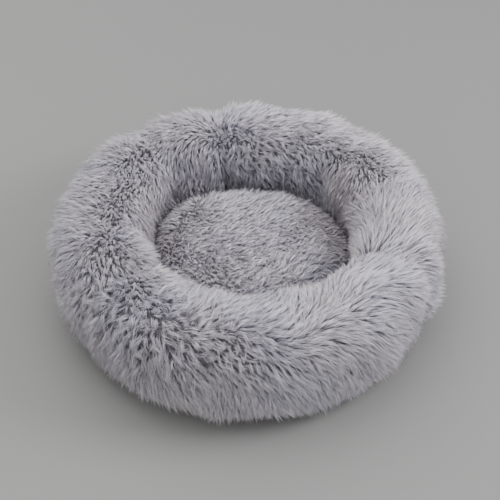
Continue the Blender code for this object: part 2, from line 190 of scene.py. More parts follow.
class Graph:
    """A node tree, with one method that adds any node."""

    def __init__(self, tree: bpy.types.NodeTree) -> None:
        """Start with an empty tree.

        Args:
            tree: the tree to fill.
        """
        self.tree = tree
        tree.nodes.clear()

    def node(self, kind: str, settings: dict | None = None, inputs: dict | None = None) -> bpy.types.Node:
        """Add a node.

        Args:
            kind: Blender's node type.
            settings: attributes, set before the sockets; "stops" fills a colour ramp.
            inputs: values or wires, by socket name or index.

        Returns:
            The node.
        """
        made = self.tree.nodes.new(kind)
        for name, value in (settings or {}).items():
            if name == "stops":
                self._fill_ramp(made.color_ramp, value)
            else:
                setattr(made, name, value)
        for key, value in (inputs or {}).items():
            socket = made.inputs[key]
            if isinstance(value, Wire):
                self.tree.links.new(value.socket, socket)
            else:
                socket.default_value = value
        return made

    def add(self, kind: str, settings: dict | None = None, inputs: dict | None = None,
            output: str | int = 0) -> Wire:
        """Add a node and take one of its outputs.

        Args:
            kind: Blender's node type.
            settings: attributes of the node.
            inputs: values or wires of its sockets.
            output: the output's name or index.

        Returns:
            The output.
        """
        return Wire(self, self.node(kind, settings, inputs).outputs[output])

    def vector(self, x: Operand = 0.0, y: Operand = 0.0, z: Operand = 0.0) -> Wire:
        """A vector from three numbers."""
        return self.add("ShaderNodeCombineXYZ", {}, {0: x, 1: y, 2: z})

    @staticmethod
    def _fill_ramp(ramp: bpy.types.ColorRamp, stops: Sequence[tuple[float, Colour]]) -> None:
        """Give a colour ramp its stops.

        Args:
            ramp: the ramp.
            stops: each stop's place from 0 to 1, and its colour.
        """
        while len(ramp.elements) < len(stops):
            ramp.elements.new(1.0)
        for element, (place, colour) in zip(ramp.elements, stops):
            element.position = place
            element.color = (*colour, 1.0)


class ShaderGraph(Graph):
    """A material's tree, with the patterns that several finishes share."""

    def __init__(self, name: str) -> None:
        """Make the material.

        Args:
            name: the material's name.
        """
        self.material = bpy.data.materials.new(name)
        self.material.use_nodes = True
        super().__init__(self.material.node_tree)
        self.place = self.add("ShaderNodeTexCoord", {}, {}, "Object")

    def noise(self, scale: float, detail: float = 2.0, place: Wire | None = None,
              roughness: float = 0.5) -> Wire:
        """Cloudy variation from 0 to 1."""
        return self.add("ShaderNodeTexNoise", {}, {"Vector": place or self.place, "Scale": scale,
                                                   "Detail": detail, "Roughness": roughness}, "Fac")

    def ramp(self, value: Wire, stops: Sequence[tuple[float, Colour]]) -> Wire:
        """Colours along a value."""
        return self.add("ShaderNodeValToRGB", {"stops": stops}, {"Fac": value}, "Color")

    def blend(self, share: Operand, first: Operand, second: Operand, how: str = "MIX") -> Wire:
        """Mix two colours by a share."""
        settings = {"data_type": "RGBA", "blend_type": how}
        colours = [(*side, 1.0) if isinstance(side, tuple) else side for side in (first, second)]
        return self.add("ShaderNodeMix", settings, {0: share, 6: colours[0], 7: colours[1]}, 2)

    def attribute(self, name: str, output: str = "Fac") -> Wire:
        """A value that the mesh carries."""
        return self.add("ShaderNodeAttribute", {"attribute_name": name}, {}, output)

    def finish(self, colour: Operand, roughness: Operand, bump: Wire | None = None,
               depth: float = 0.001, **fixed: float) -> bpy.types.Material:
        """End the tree in a Principled surface.

        Args:
            colour: base colour.
            roughness: roughness.
            bump: height from 0 to 1, or nothing for a smooth surface.
            depth: the bump's full height in metres.
            fixed: other sockets of the shader, the same all over, with _ for a space.

        Returns:
            The material.
        """
        inputs = {"Base Color": (*colour, 1.0) if isinstance(colour, tuple) else colour,
                  "Roughness": roughness}
        if bump is not None:
            inputs["Normal"] = self.add("ShaderNodeBump", {}, {"Height": bump, "Distance": depth,
                                                               "Strength": 1.0})
        inputs.update({name.replace("_", " "): value for name, value in fixed.items()})
        surface = self.add("ShaderNodeBsdfPrincipled", {}, inputs)
        self.node("ShaderNodeOutputMaterial", {}, {"Surface": surface})
        return self.material


class GeometryGraph(Graph):
    """A Geometry Nodes tree with named inputs."""

    SOCKETS = {float: "NodeSocketFloat", int: "NodeSocketInt", bpy.types.Material: "NodeSocketMaterial"}

    def __init__(self, name: str, inputs: dict[str, float | int | bpy.types.Material]) -> None:
        """Make the tree and its inputs.

        Args:
            name: the tree's name.
            inputs: for each named input, its default, whose kind gives the socket's kind.
        """
        super().__init__(bpy.data.node_groups.new(name, "GeometryNodeTree"))
        faces = self.tree.interface
        faces.new_socket("Geometry", in_out="INPUT", socket_type="NodeSocketGeometry")
        faces.new_socket("Geometry", in_out="OUTPUT", socket_type="NodeSocketGeometry")
        self.identifiers = {}
        for title, default in inputs.items():
            kind = self.SOCKETS[type(default)]
            socket = faces.new_socket(title, in_out="INPUT", socket_type=kind)
            socket.default_value = default
            self.identifiers[title] = socket.identifier
        self._entry = self.node("NodeGroupInput")

    def given(self, title: str) -> Wire:
        """One of the tree's inputs."""
        return Wire(self, self._entry.outputs[title])

    def shape(self, kind: str, geometry: Wire, **inputs: Operand) -> Wire:
        """Add a node that takes a geometry and hands it on, with _ for a space in its inputs' names."""
        named = {name.replace("_", " "): value for name, value in inputs.items()}
        return self.add(kind, {}, {"Geometry": geometry, **named})

    def copied_to(self, points: Wire, thing: Wire, **inputs: Operand) -> Wire:
        """A real copy of one thing at every point."""
        copies = self.add("GeometryNodeInstanceOnPoints", {}, {"Points": points, "Instance": thing, **inputs})
        return self.shape("GeometryNodeRealizeInstances", copies)

    def result(self, geometry: Wire) -> None:
        """Hand back a geometry, shaded smooth and in the tree's finish."""
        smooth = self.shape("GeometryNodeSetShadeSmooth", geometry)
        dressed = self.shape("GeometryNodeSetMaterial", smooth, Material=self.given("Finish"))
        self.node("NodeGroupOutput", {}, {"Geometry": dressed})

    def stored(self, geometry: Wire, name: str, value: Wire, kind: str = "FLOAT_VECTOR",
               domain: str = "POINT") -> Wire:
        """Keep a value on the geometry under a name."""
        return self.add("GeometryNodeStoreNamedAttribute", {"data_type": kind, "domain": domain},
                        {"Geometry": geometry, "Name": name, "Value": value})

    def named(self, name: str, kind: str = "FLOAT_VECTOR") -> Wire:
        """A value that the geometry carries."""
        return self.add("GeometryNodeInputNamedAttribute", {"data_type": kind}, {"Name": name})

    def mixed(self, share: Operand, first: Operand, second: Operand) -> Wire:
        """Part way between two vectors."""
        return self.add("ShaderNodeMix", {"data_type": "VECTOR"}, {0: share, 4: first, 5: second}, 1)

    def random(self, low: object, high: object, identity: Wire, seed: Operand,
               kind: str = "FLOAT_VECTOR") -> Wire:
        """A random value for each identity.

        Args:
            low: the least value.
            high: the greatest value.
            identity: what each value belongs to.
            seed: random seed.
            kind: Blender's name for the value's kind.

        Returns:
            The value.
        """
        slots = {"FLOAT_VECTOR": (0, 1, 0), "FLOAT": (2, 3, 1)}[kind]
        return self.add("FunctionNodeRandomValue", {"data_type": kind},
                        {slots[0]: low, slots[1]: high, "ID": identity, "Seed": seed}, slots[2])


def applied(thing: bpy.types.Object, graph: GeometryGraph, values: dict[str, object],
            name: str) -> bpy.types.Object:
    """Run a Geometry Nodes tree on an object and keep the result as a plain mesh.

    Args:
        thing: the object whose mesh the tree reads; its modifier is removed again.
        graph: the tree.
        values: the tree's inputs by their titles.
        name: the new object's name.

    Returns:
        The new object, at the origin.
    """
    step = thing.modifiers.new(graph.tree.name, "NODES")
    step.node_group = graph.tree
    for title, value in values.items():
        step[graph.identifiers[title]] = value
    made = baked(thing, name)
    thing.modifiers.remove(step)
    return made


def baked(thing: bpy.types.Object, name: str) -> bpy.types.Object:
    """A plain mesh of an object as its modifiers leave it.

    Args:
        thing: the object; it stays as it is.
        name: the new object's name.

    Returns:
        The new object, at the origin.
    """
    mesh = bpy.data.meshes.new_from_object(thing.evaluated_get(bpy.context.evaluated_depsgraph_get()))
    mesh.name = name
    made = bpy.data.objects.new(name, mesh)
    bpy.context.scene.collection.objects.link(made)
    return made


# ---- meshes --------------------------------------------------------------------------------------
def new_object(name: str, verts: np.ndarray | Sequence[Point], faces: Sequence[Sequence[int]],
               smooth: bool = True) -> bpy.types.Object:
    """Make a mesh object at the origin.

    Args:
        name: the piece's name.
        verts: its points.
        faces: its faces, as indices.
        smooth: whether it is shaded smooth.

    Returns:
        The object.
    """
    mesh = bpy.data.meshes.new(name)
    mesh.from_pydata([tuple(point) for point in verts], [], [tuple(face) for face in faces])
    mesh.validate()
    if smooth:
        mesh.shade_smooth()
    thing = bpy.data.objects.new(name, mesh)
    bpy.context.scene.collection.objects.link(thing)
    return thing


def points_of(thing: bpy.types.Object) -> np.ndarray:
    """An object's points as rows of x, y, z."""
    flat = np.empty(len(thing.data.vertices) * 3)
    thing.data.vertices.foreach_get("co", flat)
    return flat.reshape(-1, 3)


def normals_of(thing: bpy.types.Object) -> np.ndarray:
    """The outward direction at each of an object's points."""
    flat = np.empty(len(thing.data.vertices) * 3)
    thing.data.vertex_normals.foreach_get("vector", flat)
    return flat.reshape(-1, 3)


def move_points(thing: bpy.types.Object, points: np.ndarray) -> None:
    """Give an object's points new places."""
    thing.data.vertices.foreach_set("co", points.astype(np.float32).ravel())
    thing.data.update()


def write_attribute(thing: bpy.types.Object, name: str, values: np.ndarray) -> None:
    """Keep a number or a vector on each point of a mesh."""
    kind, slot = ("FLOAT", "value") if values.ndim == 1 else ("FLOAT_VECTOR", "vector")
    layer = thing.data.attributes.new(name, kind, "POINT")
    layer.data.foreach_set(slot, values.astype(np.float32).ravel())


def settle(piece: bpy.types.Object, body: Body) -> bpy.types.Object:
    """Set a piece on its body, and report it.

    Args:
        piece: the piece.
        body: what it rides on.

    Returns:
        The same piece.
    """
    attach(piece, body.value)
    LOG.info("%s: %d faces", piece.name, len(piece.data.polygons))
    return piece


def dress(piece: bpy.types.Object, body: Body, slot: str, finish: bpy.types.Material,
          *nodes: str) -> bpy.types.Object:
    """Give a piece its finish, its body, and the nodes that it stands for.

    Args:
        piece: the piece.
        body: what it rides on.
        slot: the record's material slot; not used.
        finish: its material.
        nodes: the CAD nodes that it replaces.

    Returns:
        The same piece.
    """
    piece.data.materials.clear()
    piece.data.materials.append(finish)
    for node in nodes:
        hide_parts(node)
    return settle(piece, body)


def merged_copy(node: str, name: str, frame: dict, flat_faces: bool) -> bpy.types.Object:
    """A copy of a CAD node whose loose triangles are joined.

    Args:
        node: the node.
        name: the copy's name.
        frame: the loaded frame.
        flat_faces: whether triangles in one plane become one face.

    Returns:
        The copy.
    """
    shape = bmesh.new()
    shape.from_mesh(frame["nodes"][node].data)
    bmesh.ops.remove_doubles(shape, verts=shape.verts, dist=MERGE)
    if flat_faces:
        bmesh.ops.dissolve_limit(shape, angle_limit=math.radians(1.0), verts=shape.verts, edges=shape.edges)
    bmesh.ops.recalc_face_normals(shape, faces=shape.faces)
    mesh = bpy.data.meshes.new(name)
    shape.to_mesh(mesh)
    shape.free()
    copy = bpy.data.objects.new(name, mesh)
    bpy.context.scene.collection.objects.link(copy)
    return copy


def grid_faces(rows: int, columns: int, wrap_rows: bool = False,
               wrap_columns: bool = True) -> list[tuple[int, int, int, int]]:
    """Four-sided faces between the points of a grid.

    Args:
        rows: how many rows of points.
        columns: how many points in a row.
        wrap_rows: whether the last row meets the first.
        wrap_columns: whether the last column meets the first.

    Returns:
        The faces, as indices of points counted row by row.
    """
    faces = []
    for row in range(rows if wrap_rows else rows - 1):
        here, there = row * columns, (row + 1) % rows * columns
        for column in range(columns if wrap_columns else columns - 1):
            after = (column + 1) % columns
            faces.append((here + column, there + column, there + after, here + after))
    return faces


def surface_of(name: str, grid: np.ndarray, wrap: bool = False) -> bpy.types.Object:
    """A surface through a grid of points, whose points in one place are joined.

    Args:
        name: the object's name.
        grid: rows by columns of points; the surface faces the side that rows, then columns, turn about.
        wrap: whether the last column meets the first.

    Returns:
        The surface.
    """
    surface = new_object(name, grid.reshape(-1, 3), grid_faces(*grid.shape[:2], wrap_columns=wrap))
    shape = bmesh.new()
    shape.from_mesh(surface.data)
    bmesh.ops.remove_doubles(shape, verts=shape.verts, dist=MERGE)
    shape.to_mesh(surface.data)
    shape.free()
    return surface


def lathe(name: str, outline: Sequence[tuple[float, float]], lumps: float,
          wavelength: float) -> bpy.types.Object:
    """A round stuffed piece, turned about the middle of the bed.

    Args:
        name: the piece's name.
        outline: its section as (radius, height), up its outside and back down its inside or its middle.
        lumps: how far it sinks in at its uneven places.
        wavelength: the size of those places.

    Returns:
        The piece.
    """
    turns = np.linspace(0.0, math.tau, 145)[:-1]
    radius, height = np.array(outline).T
    grid = np.stack([radius[:, None] * np.cos(turns), radius[:, None] * np.sin(turns),
                     height[:, None] + 0.0 * turns], -1)
    piece = surface_of(name, grid[::-1], wrap=True)
    sink_unevenly(piece, lumps, wavelength)
    return piece


def sink_unevenly(piece: bpy.types.Object, depth: float, wavelength: float) -> None:
    """Press soft hollows into a piece.

    Args:
        piece: the piece; its points move inward.
        depth: how deep the hollows are.
        wavelength: how wide they are.
    """
    points = points_of(piece)
    sink = depth * np.clip(0.5 + 0.5 * wander(points, wavelength, len(piece.name)), 0.0, 1.0)
    move_points(piece, points - normals_of(piece) * sink[:, None])


def cloth(name: str, grid: np.ndarray, thickness: float, wrap: bool = False) -> bpy.types.Object:
    """A sheet of cloth on a grid of points.

    Args:
        name: the piece's name.
        grid: rows by columns of points, on one face of the cloth.
        thickness: the cloth's thickness, added on the side that rows, then columns, turn about.
        wrap: whether the last column meets the first.

    Returns:
        The sheet, closed at its edges.
    """
    surface = surface_of(name + "_face", grid, wrap)
    step = surface.modifiers.new("thickness", "SOLIDIFY")
    step.thickness = thickness
    step.offset = 1.0
    sheet = baked(surface, name)
    bpy.data.objects.remove(surface)
    return sheet


def disc_grid(node: str, frame: dict, height: float, ripple: float, seed: int) -> np.ndarray:
    """Points of a round piece of cloth, from its middle to its edge.

    Args:
        node: the CAD node that it follows the edge of.
        frame: the loaded frame.
        height: its height.
        ripple: how far it lifts in soft waves.
        seed: random seed of the waves.

    Returns:
        Rows by columns of points.
    """
    low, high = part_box(node)
    centre = (low + high) / 2
    tree = outer_surface([node], frame)
    turns = np.linspace(0.0, math.tau, 97)[:-1]
    edge = [tree.ray_cast(centre, Vector((math.cos(turn), math.sin(turn), 0.0)))[3] for turn in turns]
    share, turn = np.meshgrid(np.linspace(0.0, 1.0, 22), turns, indexing="ij")
    away = share * np.array(edge)
    grid = np.stack([centre.x + away * np.cos(turn), centre.y + away * np.sin(turn), away * 0.0 + height], -1)
    waves = wander(grid.reshape(-1, 3), 0.07, seed).reshape(away.shape)
    grid[..., 2] += ripple * np.clip(0.5 + 0.5 * waves, 0.0, 1.0) * np.minimum(1.0, away / 0.02)
    return grid


def outer_surface(names: Iterable[str], frame: dict) -> BVHTree:
    """A search tree over several CAD nodes.

    Args:
        names: the nodes.
        frame: the loaded frame.

    Returns:
        The tree.
    """
    verts: list[Vector] = []
    faces: list[list[int]] = []
    for name in names:
        mesh = frame["nodes"][name].data
        start = len(verts)
        verts += [vertex.co.copy() for vertex in mesh.vertices]
        faces += [[start + index for index in polygon.vertices] for polygon in mesh.polygons]
    return BVHTree.FromPolygons(verts, faces)


def smoothed(grid: np.ndarray, rounds: int, wrap_rows: bool = True, wrap_columns: bool = True) -> np.ndarray:
    """Average a grid of values with its neighbours.

    Args:
        grid: rows by columns.
        rounds: how many times.
        wrap_rows: whether the last row meets the first.
        wrap_columns: whether the last column meets the first.

    Returns:
        The smoother grid.
    """
    for _ in range(rounds):
        padded = np.pad(grid, ((1, 1), (0, 0)), mode="wrap" if wrap_rows else "edge")
        grid = (padded[:-2] + 2 * padded[1:-1] + padded[2:]) / 4
        padded = np.pad(grid, ((0, 0), (1, 1)), mode="wrap" if wrap_columns else "edge")
        grid = (padded[:, :-2] + 2 * padded[:, 1:-1] + padded[:, 2:]) / 4
    return grid


@dataclass(frozen=True)
class Stuffing:
    """How a short cloth simulation fills out a padded skin."""

    pressure: float = 4.0
    stiffness: float = 12.0
    frames: int = 20
    cap: float = 0.010

    def fill(self, skin: bpy.types.Object, held: np.ndarray) -> None:
        """Swell a skin like stuffed cloth.

        Args:
            skin: the closed skin; its points move.
            held: for each point, 1 where stitching or the floor holds it and 0 where it is free.
        """
        start = points_of(skin)
        pins = skin.vertex_groups.new(name="held")
        for index, weight in enumerate(held):
            if weight > 0:
                pins.add([index], float(weight), "REPLACE")
        step = skin.modifiers.new("stuffing", "CLOTH")
        fabric = step.settings
        fabric.use_pressure = True
        fabric.uniform_pressure_force = self.pressure
        fabric.effector_weights.gravity = 0.0
        fabric.tension_stiffness = self.stiffness
        fabric.compression_stiffness = self.stiffness
        fabric.bending_stiffness = 0.3
        fabric.vertex_group_mass = pins.name
        step.collision_settings.use_collision = False
        scene = bpy.context.scene
        step.point_cache.frame_start = 1
        step.point_cache.frame_end = self.frames
        for moment in range(1, self.frames + 1):
            scene.frame_set(moment)
        moved = points_of(skin.evaluated_get(bpy.context.evaluated_depsgraph_get())) - start
        skin.modifiers.remove(step)
        skin.vertex_groups.remove(pins)
        length = np.linalg.norm(moved, axis=1, keepdims=True)
        share = np.minimum(1.0, self.cap / np.maximum(length, 1e-9))
        move_points(skin, start + moved * share)
        scene.frame_set(1)


# ---- finishes ------------------------------------------------------------------------------------
@dataclass(frozen=True)
class FurFinish:
    """Dyed fur fibre: darker at its root and paler at its tip, partly the dye and partly painted shade deep in the
    pile, and a little uneven from lock to lock.
    """

    name: str
    # The dark root colour is partly the dye and partly painted shade deep in the pile.
    root: Colour = (0.420, 0.390, 0.462)
    middle: Colour = (0.765, 0.730, 0.820)
    tip: Colour = (0.960, 0.925, 0.990)
    warm: Colour = (1.02, 1.00, 0.98)
    cool: Colour = (0.99, 0.99, 1.02)

    def material(self) -> bpy.types.Material:
        """Build the finish.

        Returns:
            The material.
        """
        graph = ShaderGraph(self.name)
        # The ramp from root to tip paints the shade deep in the pile onto the fibre's own colour.
        fibre = graph.ramp(graph.attribute("along"), [(0.0, self.root), (0.45, self.middle), (1.0, self.tip)])
        hue = graph.ramp(graph.noise(9.0, 2.0), [(0.38, self.warm), (0.62, self.cool)])
        dyed = graph.blend(1.0, fibre, hue, "MULTIPLY")
        uneven = graph.attribute("tint")
        shade = graph.add("ShaderNodeCombineColor", {}, {0: uneven, 1: uneven, 2: uneven})
        colour = graph.blend(1.0, dyed, shade, "MULTIPLY")
        roughness = 0.78 - graph.attribute("along") * 0.20
        return graph.finish(colour, roughness, Sheen_Weight=0.25, Sheen_Roughness=0.5,
                            Specular_IOR_Level=0.35)


@dataclass(frozen=True)
class BackingFinish:
    """The knitted backing that the pile grows from, its colours darkened as painted shade deep in the pile."""

    name: str
    # Both colours are the backing's knit, darkened as painted shade deep in the pile.
    yarn_in_painted_shade: Colour = (0.300, 0.285, 0.330)
    gap: Colour = (0.200, 0.190, 0.220)
    stitch_pitch: float = 0.0016

    def material(self) -> bpy.types.Material:
        """Build the finish.

        Returns:
            The material.
        """
        graph = ShaderGraph(self.name)
        across, along, up = (graph.place * (math.tau / self.stitch_pitch)).parts()
        ribs = (across + up).sine()
        loops = (along - up).sine()
        knit = (ribs * loops + 1.0) * 0.5
        cloudy = graph.noise(60.0, 3.0)
        # The knit pattern is the cloth's own; its dark range is painted shade deep in the pile.
        colour = graph.ramp(knit * 0.6 + cloudy * 0.4, [(0.2, self.gap), (0.8, self.yarn_in_painted_shade)])
        return graph.finish(colour, 0.92, knit * 0.7 + cloudy * 0.3, 0.0004)


@dataclass(frozen=True)
class WovenFinish:
    """Plain-woven cloth: threads that pass over and under each other, with slubs and soft wear."""

    name: str
    thread: Colour
    gap: Colour
    pitch: float = 0.0008
    roughness: float = 0.85
    fuzz: float = 0.15

    def material(self) -> bpy.types.Material:
        """Build the finish.

        Returns:
            The material.
        """
        graph = ShaderGraph(self.name)
        slub = graph.noise(320.0, 2.0)
        x, y, _ = (graph.place * (math.tau / self.pitch)).parts()
        warp = (x + slub * 1.5).sine()
        weft = (y + slub * 1.5).sine()
        weave = (warp * weft + 1.0) * 0.5
        worn = graph.noise(28.0, 4.0)
        colour = graph.ramp(weave * 0.55 + slub * 0.25 + worn * 0.20,
                            [(0.15, self.gap), (0.55, self.thread),
                             (0.95, tuple(min(1.0, part * 1.35) for part in self.thread))])
        return graph.finish(colour, self.roughness - worn * 0.12, weave * 0.7 + slub * 0.3, 0.00025,
                            Sheen_Weight=self.fuzz)


@dataclass(frozen=True)
class FibreFinish:
    """Loose polyester fibre: pale, matted into soft strands."""

    name: str
    pale: Colour = (0.86, 0.86, 0.84)
    deep: Colour = (0.62, 0.62, 0.61)

    def material(self) -> bpy.types.Material:
        """Build the finish.

        Returns:
            The material.
        """
        graph = ShaderGraph(self.name)
        drift = graph.add("ShaderNodeTexNoise", {}, {"Vector": graph.place, "Scale": 30.0, "Detail": 2.0},
                          "Color")
        matted = graph.noise(120.0, 5.0, graph.place + drift * 0.02, 0.7)
        colour = graph.ramp(matted, [(0.3, self.deep), (0.65, self.pale)])
        return graph.finish(colour, 0.95, matted, 0.0012, Sheen_Weight=0.2)


@dataclass(frozen=True)
class RibbedTapeFinish:
    """Binding or zip tape: fine ribs that run round the bed or along the zip."""

    name: str
    thread: Colour
    gap: Colour
    rib: float = 0.0009
    radial: bool = False

    def material(self) -> bpy.types.Material:
        """Build the finish.

        Returns:
            The material.
        """
        graph = ShaderGraph(self.name)
        x, y, z = graph.place.parts()
        across = (x * x + y * y) ** 0.5 + z if self.radial else y
        ribs = (across * (math.tau / self.rib)).sine()
        fuzz = graph.noise(900.0, 2.0)
        worn = graph.noise(40.0, 3.0)
        height = ribs * 0.35 + 0.35 + fuzz * 0.3
        colour = graph.ramp(height * 0.8 + worn * 0.2, [(0.2, self.gap), (0.8, self.thread)])
        return graph.finish(colour, 0.82 + worn * 0.1, height, 0.0002)


@dataclass(frozen=True)
class MouldedFinish:
    """Moulded nylon or rubber, or painted cast metal: even, with a fine grain and rubbed high spots."""

    name: str
    colour: Colour
    rubbed: Colour
    roughness: float
    metallic: float = 0.0
    grain: float = 2500.0

    def material(self) -> bpy.types.Material:
        """Build the finish.

        Returns:
            The material.
        """
        graph = ShaderGraph(self.name)
        grain = graph.noise(self.grain, 2.0)
        wear = graph.noise(420.0, 4.0)
        colour = graph.ramp(wear, [(0.45, self.colour), (0.72, self.rubbed)])
        return graph.finish(colour, self.roughness + grain * 0.10 - wear * 0.08, grain, 0.00005,
                            Metallic=self.metallic)


@dataclass(frozen=True)
class SatinFinish:
    """Satin ribbon: long floats that give a soft sheen one way, with painted shade in its creases."""

    name: str
    colour: Colour = (0.83, 0.83, 0.80)
    shade: Colour = (0.70, 0.70, 0.68)
    float_pitch: float = 0.0004

    def material(self) -> bpy.types.Material:
        """Build the finish.

        Returns:
            The material.
        """
        graph = ShaderGraph(self.name)
        x, y, _ = graph.place.parts()
        floats = ((x + y * 0.35) * (math.tau / self.float_pitch)).sine()
        creases_and_painted_shade = graph.noise(150.0, 3.0)
        # Where the crease noise is low the colour falls to the shade colour: painted crease shade.
        colour = graph.ramp(floats * 0.2 + creases_and_painted_shade * 0.6 + 0.2, [(0.2, self.shade), (0.7, self.colour)])
        return graph.finish(colour, 0.42 + creases_and_painted_shade * 0.15, floats * 0.5 + 0.5, 0.00006, Sheen_Weight=0.3)


# ---- fur -----------------------------------------------------------------------------------------
@dataclass(frozen=True)
class Pile:
    """The measures of the fur on one part of the bed, in metres and per square metre."""

    length: float = 0.026
    strands: float = 300000.0
    locks: float = 85000.0
    girth: float = 0.00050
    gather: float = 0.70
    lift: float = 0.62
    stray: float = 0.22
    wander: float = 0.44
    droop: float = 0.06
    pieces: int = 4


class FurCoat:
    """One Geometry Nodes tree that grows fur in gathered locks on any skin.

    The skin carries four values on its points. The comb is the direction that the tips lie in. The
    pile is the length, the cover the density, and the mess how tousled the locks are, each as a share
    of the Pile's own measure.
    """

    MEASURES = ("Length", "Strands", "Locks", "Girth", "Gather", "Lift", "Stray", "Wander", "Droop")
    SIDES = 3
    JOINTS = 2
    ROOT_DEPTH = 0.002
    FLOOR = 0.0006

    def __init__(self, finish: bpy.types.Material) -> None:
        """Build the tree.

        Args:
            finish: what the strands are made of.
        """
        self.graph = GeometryGraph("fur_coat", {
            "Length": 0.03, "Strands": 200000.0,
            "Locks": 30000.0, "Girth": 0.0007,
            "Gather": 0.8, "Lift": 0.6,
            "Stray": 0.2, "Wander": 0.3,
            "Droop": 0.1, "Seed": 1,
            "Shares": 1, "Share": 0,
            "Finish": finish})
        self._build()

    def _scattered(self, density: Wire, seed: Wire) -> tuple[Wire, Wire]:
        """Points strewn over the skin, with the skin's outward direction kept on them.

        Args:
            density: points per square metre.
            seed: random seed.

        Returns:
            The points, and the outward direction as a field on them.
        """
        graph = self.graph
        strewn = graph.node("GeometryNodeDistributePointsOnFaces", {"distribute_method": "RANDOM"},
                            {"Mesh": graph.given("Geometry"), "Density": density, "Seed": seed})
        points, normal = (Wire(graph, strewn.outputs[name]) for name in ("Points", "Normal"))
        return graph.stored(points, "up", normal), graph.named("up")

    def _reach(self, points: Wire, up: Wire, spread: Wire, seed: Operand) -> Wire:
        """Give each point the middle and the tip that its strand would reach by itself.

        Args:
            points: the strand roots.
            up: the skin's outward direction.
            spread: how far directions stray from the comb.
            seed: random seed.

        Returns:
            The points, with "middle" and "tip" kept on them.
        """
        graph = self.graph
        here = graph.add("GeometryNodeInputPosition")
        index = graph.add("GeometryNodeInputIndex")
        comb = graph.named("comb")
        uneven = graph.random(0.72, 1.12, index, seed, "FLOAT")
        length = graph.given("Length") * graph.named("pile", "FLOAT") * uneven
        astray = graph.random((-1.0, -1.0, -1.0), (1.0, 1.0, 1.0), index, seed)
        spread = spread * graph.named("mess", "FLOAT")
        lean = (up * graph.given("Lift") + comb + astray * spread).unit()
        fall = graph.vector(z=length * graph.given("Droop"))
        tip = here + lean * length - fall
        middle = here + up * (length * 0.42) + (comb + astray * spread) * (length * 0.16)
        return graph.stored(graph.stored(points, "middle", middle), "tip", tip)

    def _build(self) -> None:
        """Lay out the whole tree."""
        graph = self.graph
        seed = graph.given("Seed")
        guides, up = self._scattered(graph.given("Locks") * graph.named("cover", "FLOAT") ** 3.0, seed)
        guides = self._reach(guides, up, graph.given("Wander"), seed)
        index = graph.add("GeometryNodeInputIndex")
        guides = graph.stored(guides, "shade", graph.random(0.72, 1.10, index, seed, "FLOAT"), "FLOAT")
        roots, up = self._scattered(graph.given("Strands") * graph.named("cover", "FLOAT"), seed + 1)
        roots = self._reach(roots, up, graph.given("Stray"), seed + 1)
        here = graph.add("GeometryNodeInputPosition")
        nearest = graph.add("GeometryNodeSampleNearest", {"domain": "POINT"},
                            {"Geometry": guides, "Sample Position": here}, "Index")

        def of_guide(name: str, kind: str = "FLOAT_VECTOR") -> Wire:
            """A value of the nearest lock's guide."""
            return graph.add("GeometryNodeSampleIndex", {"data_type": kind, "domain": "POINT"},
                             {"Geometry": guides, "Value": graph.named(name, kind), "Index": nearest})

        gather = graph.given("Gather")
        tip = graph.mixed(gather, graph.named("tip"), of_guide("tip"))
        middle = graph.mixed(gather * 0.5, graph.named("middle"), of_guide("middle"))
        single = graph.random(0.72, 1.18, index, seed + 2, "FLOAT")
        tint = of_guide("shade", "FLOAT") * single
        roots = graph.stored(graph.stored(roots, "gathered_tip", tip), "gathered_middle", middle)
        roots = graph.stored(graph.stored(roots, "root", here - up * self.ROOT_DEPTH), "tint", tint, "FLOAT")
        turn_taken = index.remainder(graph.given("Shares"))
        others = graph.add("FunctionNodeCompare", {"data_type": "FLOAT", "operation": "NOT_EQUAL"},
                           {0: turn_taken, 1: graph.given("Share")})
        roots = graph.add("GeometryNodeDeleteGeometry", {"domain": "POINT"},
                          {"Geometry": roots, "Selection": others})
        strand = graph.add("GeometryNodeMeshCone", {"fill_type": "NGON"}, {
            "Vertices": self.SIDES, "Side Segments": self.JOINTS, "Fill Segments": 1,
            "Radius Top": 0.0, "Radius Bottom": 1.0, "Depth": 1.0}, "Mesh")
        strand = graph.stored(strand, "strand", here)
        grown = graph.copied_to(roots, strand)
        across, over, along = graph.named("strand").parts()
        grown = graph.stored(grown, "along", along, "FLOAT")
        grown = graph.shape("GeometryNodeSetPosition", grown, Position=self._bent(across, over, along))
        for name in ("root", "middle", "tip", "gathered_middle", "gathered_tip", "strand", "comb", "pile",
                     "cover", "mess", "up"):
            grown = graph.shape("GeometryNodeRemoveAttribute", grown, Name=name)
        graph.result(grown)

    def _bent(self, across: Wire, over: Wire, along: Wire) -> Wire:
        """Where a point of the plain strand goes on the bent, tapered one.

        Args:
            across: the point's place across the plain strand.
            over: its place across, the other way.
            along: from 0 at the root to 1 at the tip.

        Returns:
            The place.
        """
        graph = self.graph
        root = graph.named("root")
        middle = graph.named("gathered_middle")
        tip = graph.named("gathered_tip")
        left = 1.0 - along
        spine = root * (left * left) + middle * (left * along * 2.0) + tip * (along * along)
        forward = ((middle - root) * left + (tip - middle) * along).unit()
        side = forward.cross((0.31, 0.87, 0.38)).unit()
        above = forward.cross(side)
        x, y, _ = graph.vector(across, over).unit().parts()
        girth = graph.given("Girth") * (1.0 - along ** 2.2)
        place = spine + side * (x * girth) + above * (y * girth)
        px, py, pz = place.parts()
        return graph.vector(px, py, pz.at_least(self.FLOOR))

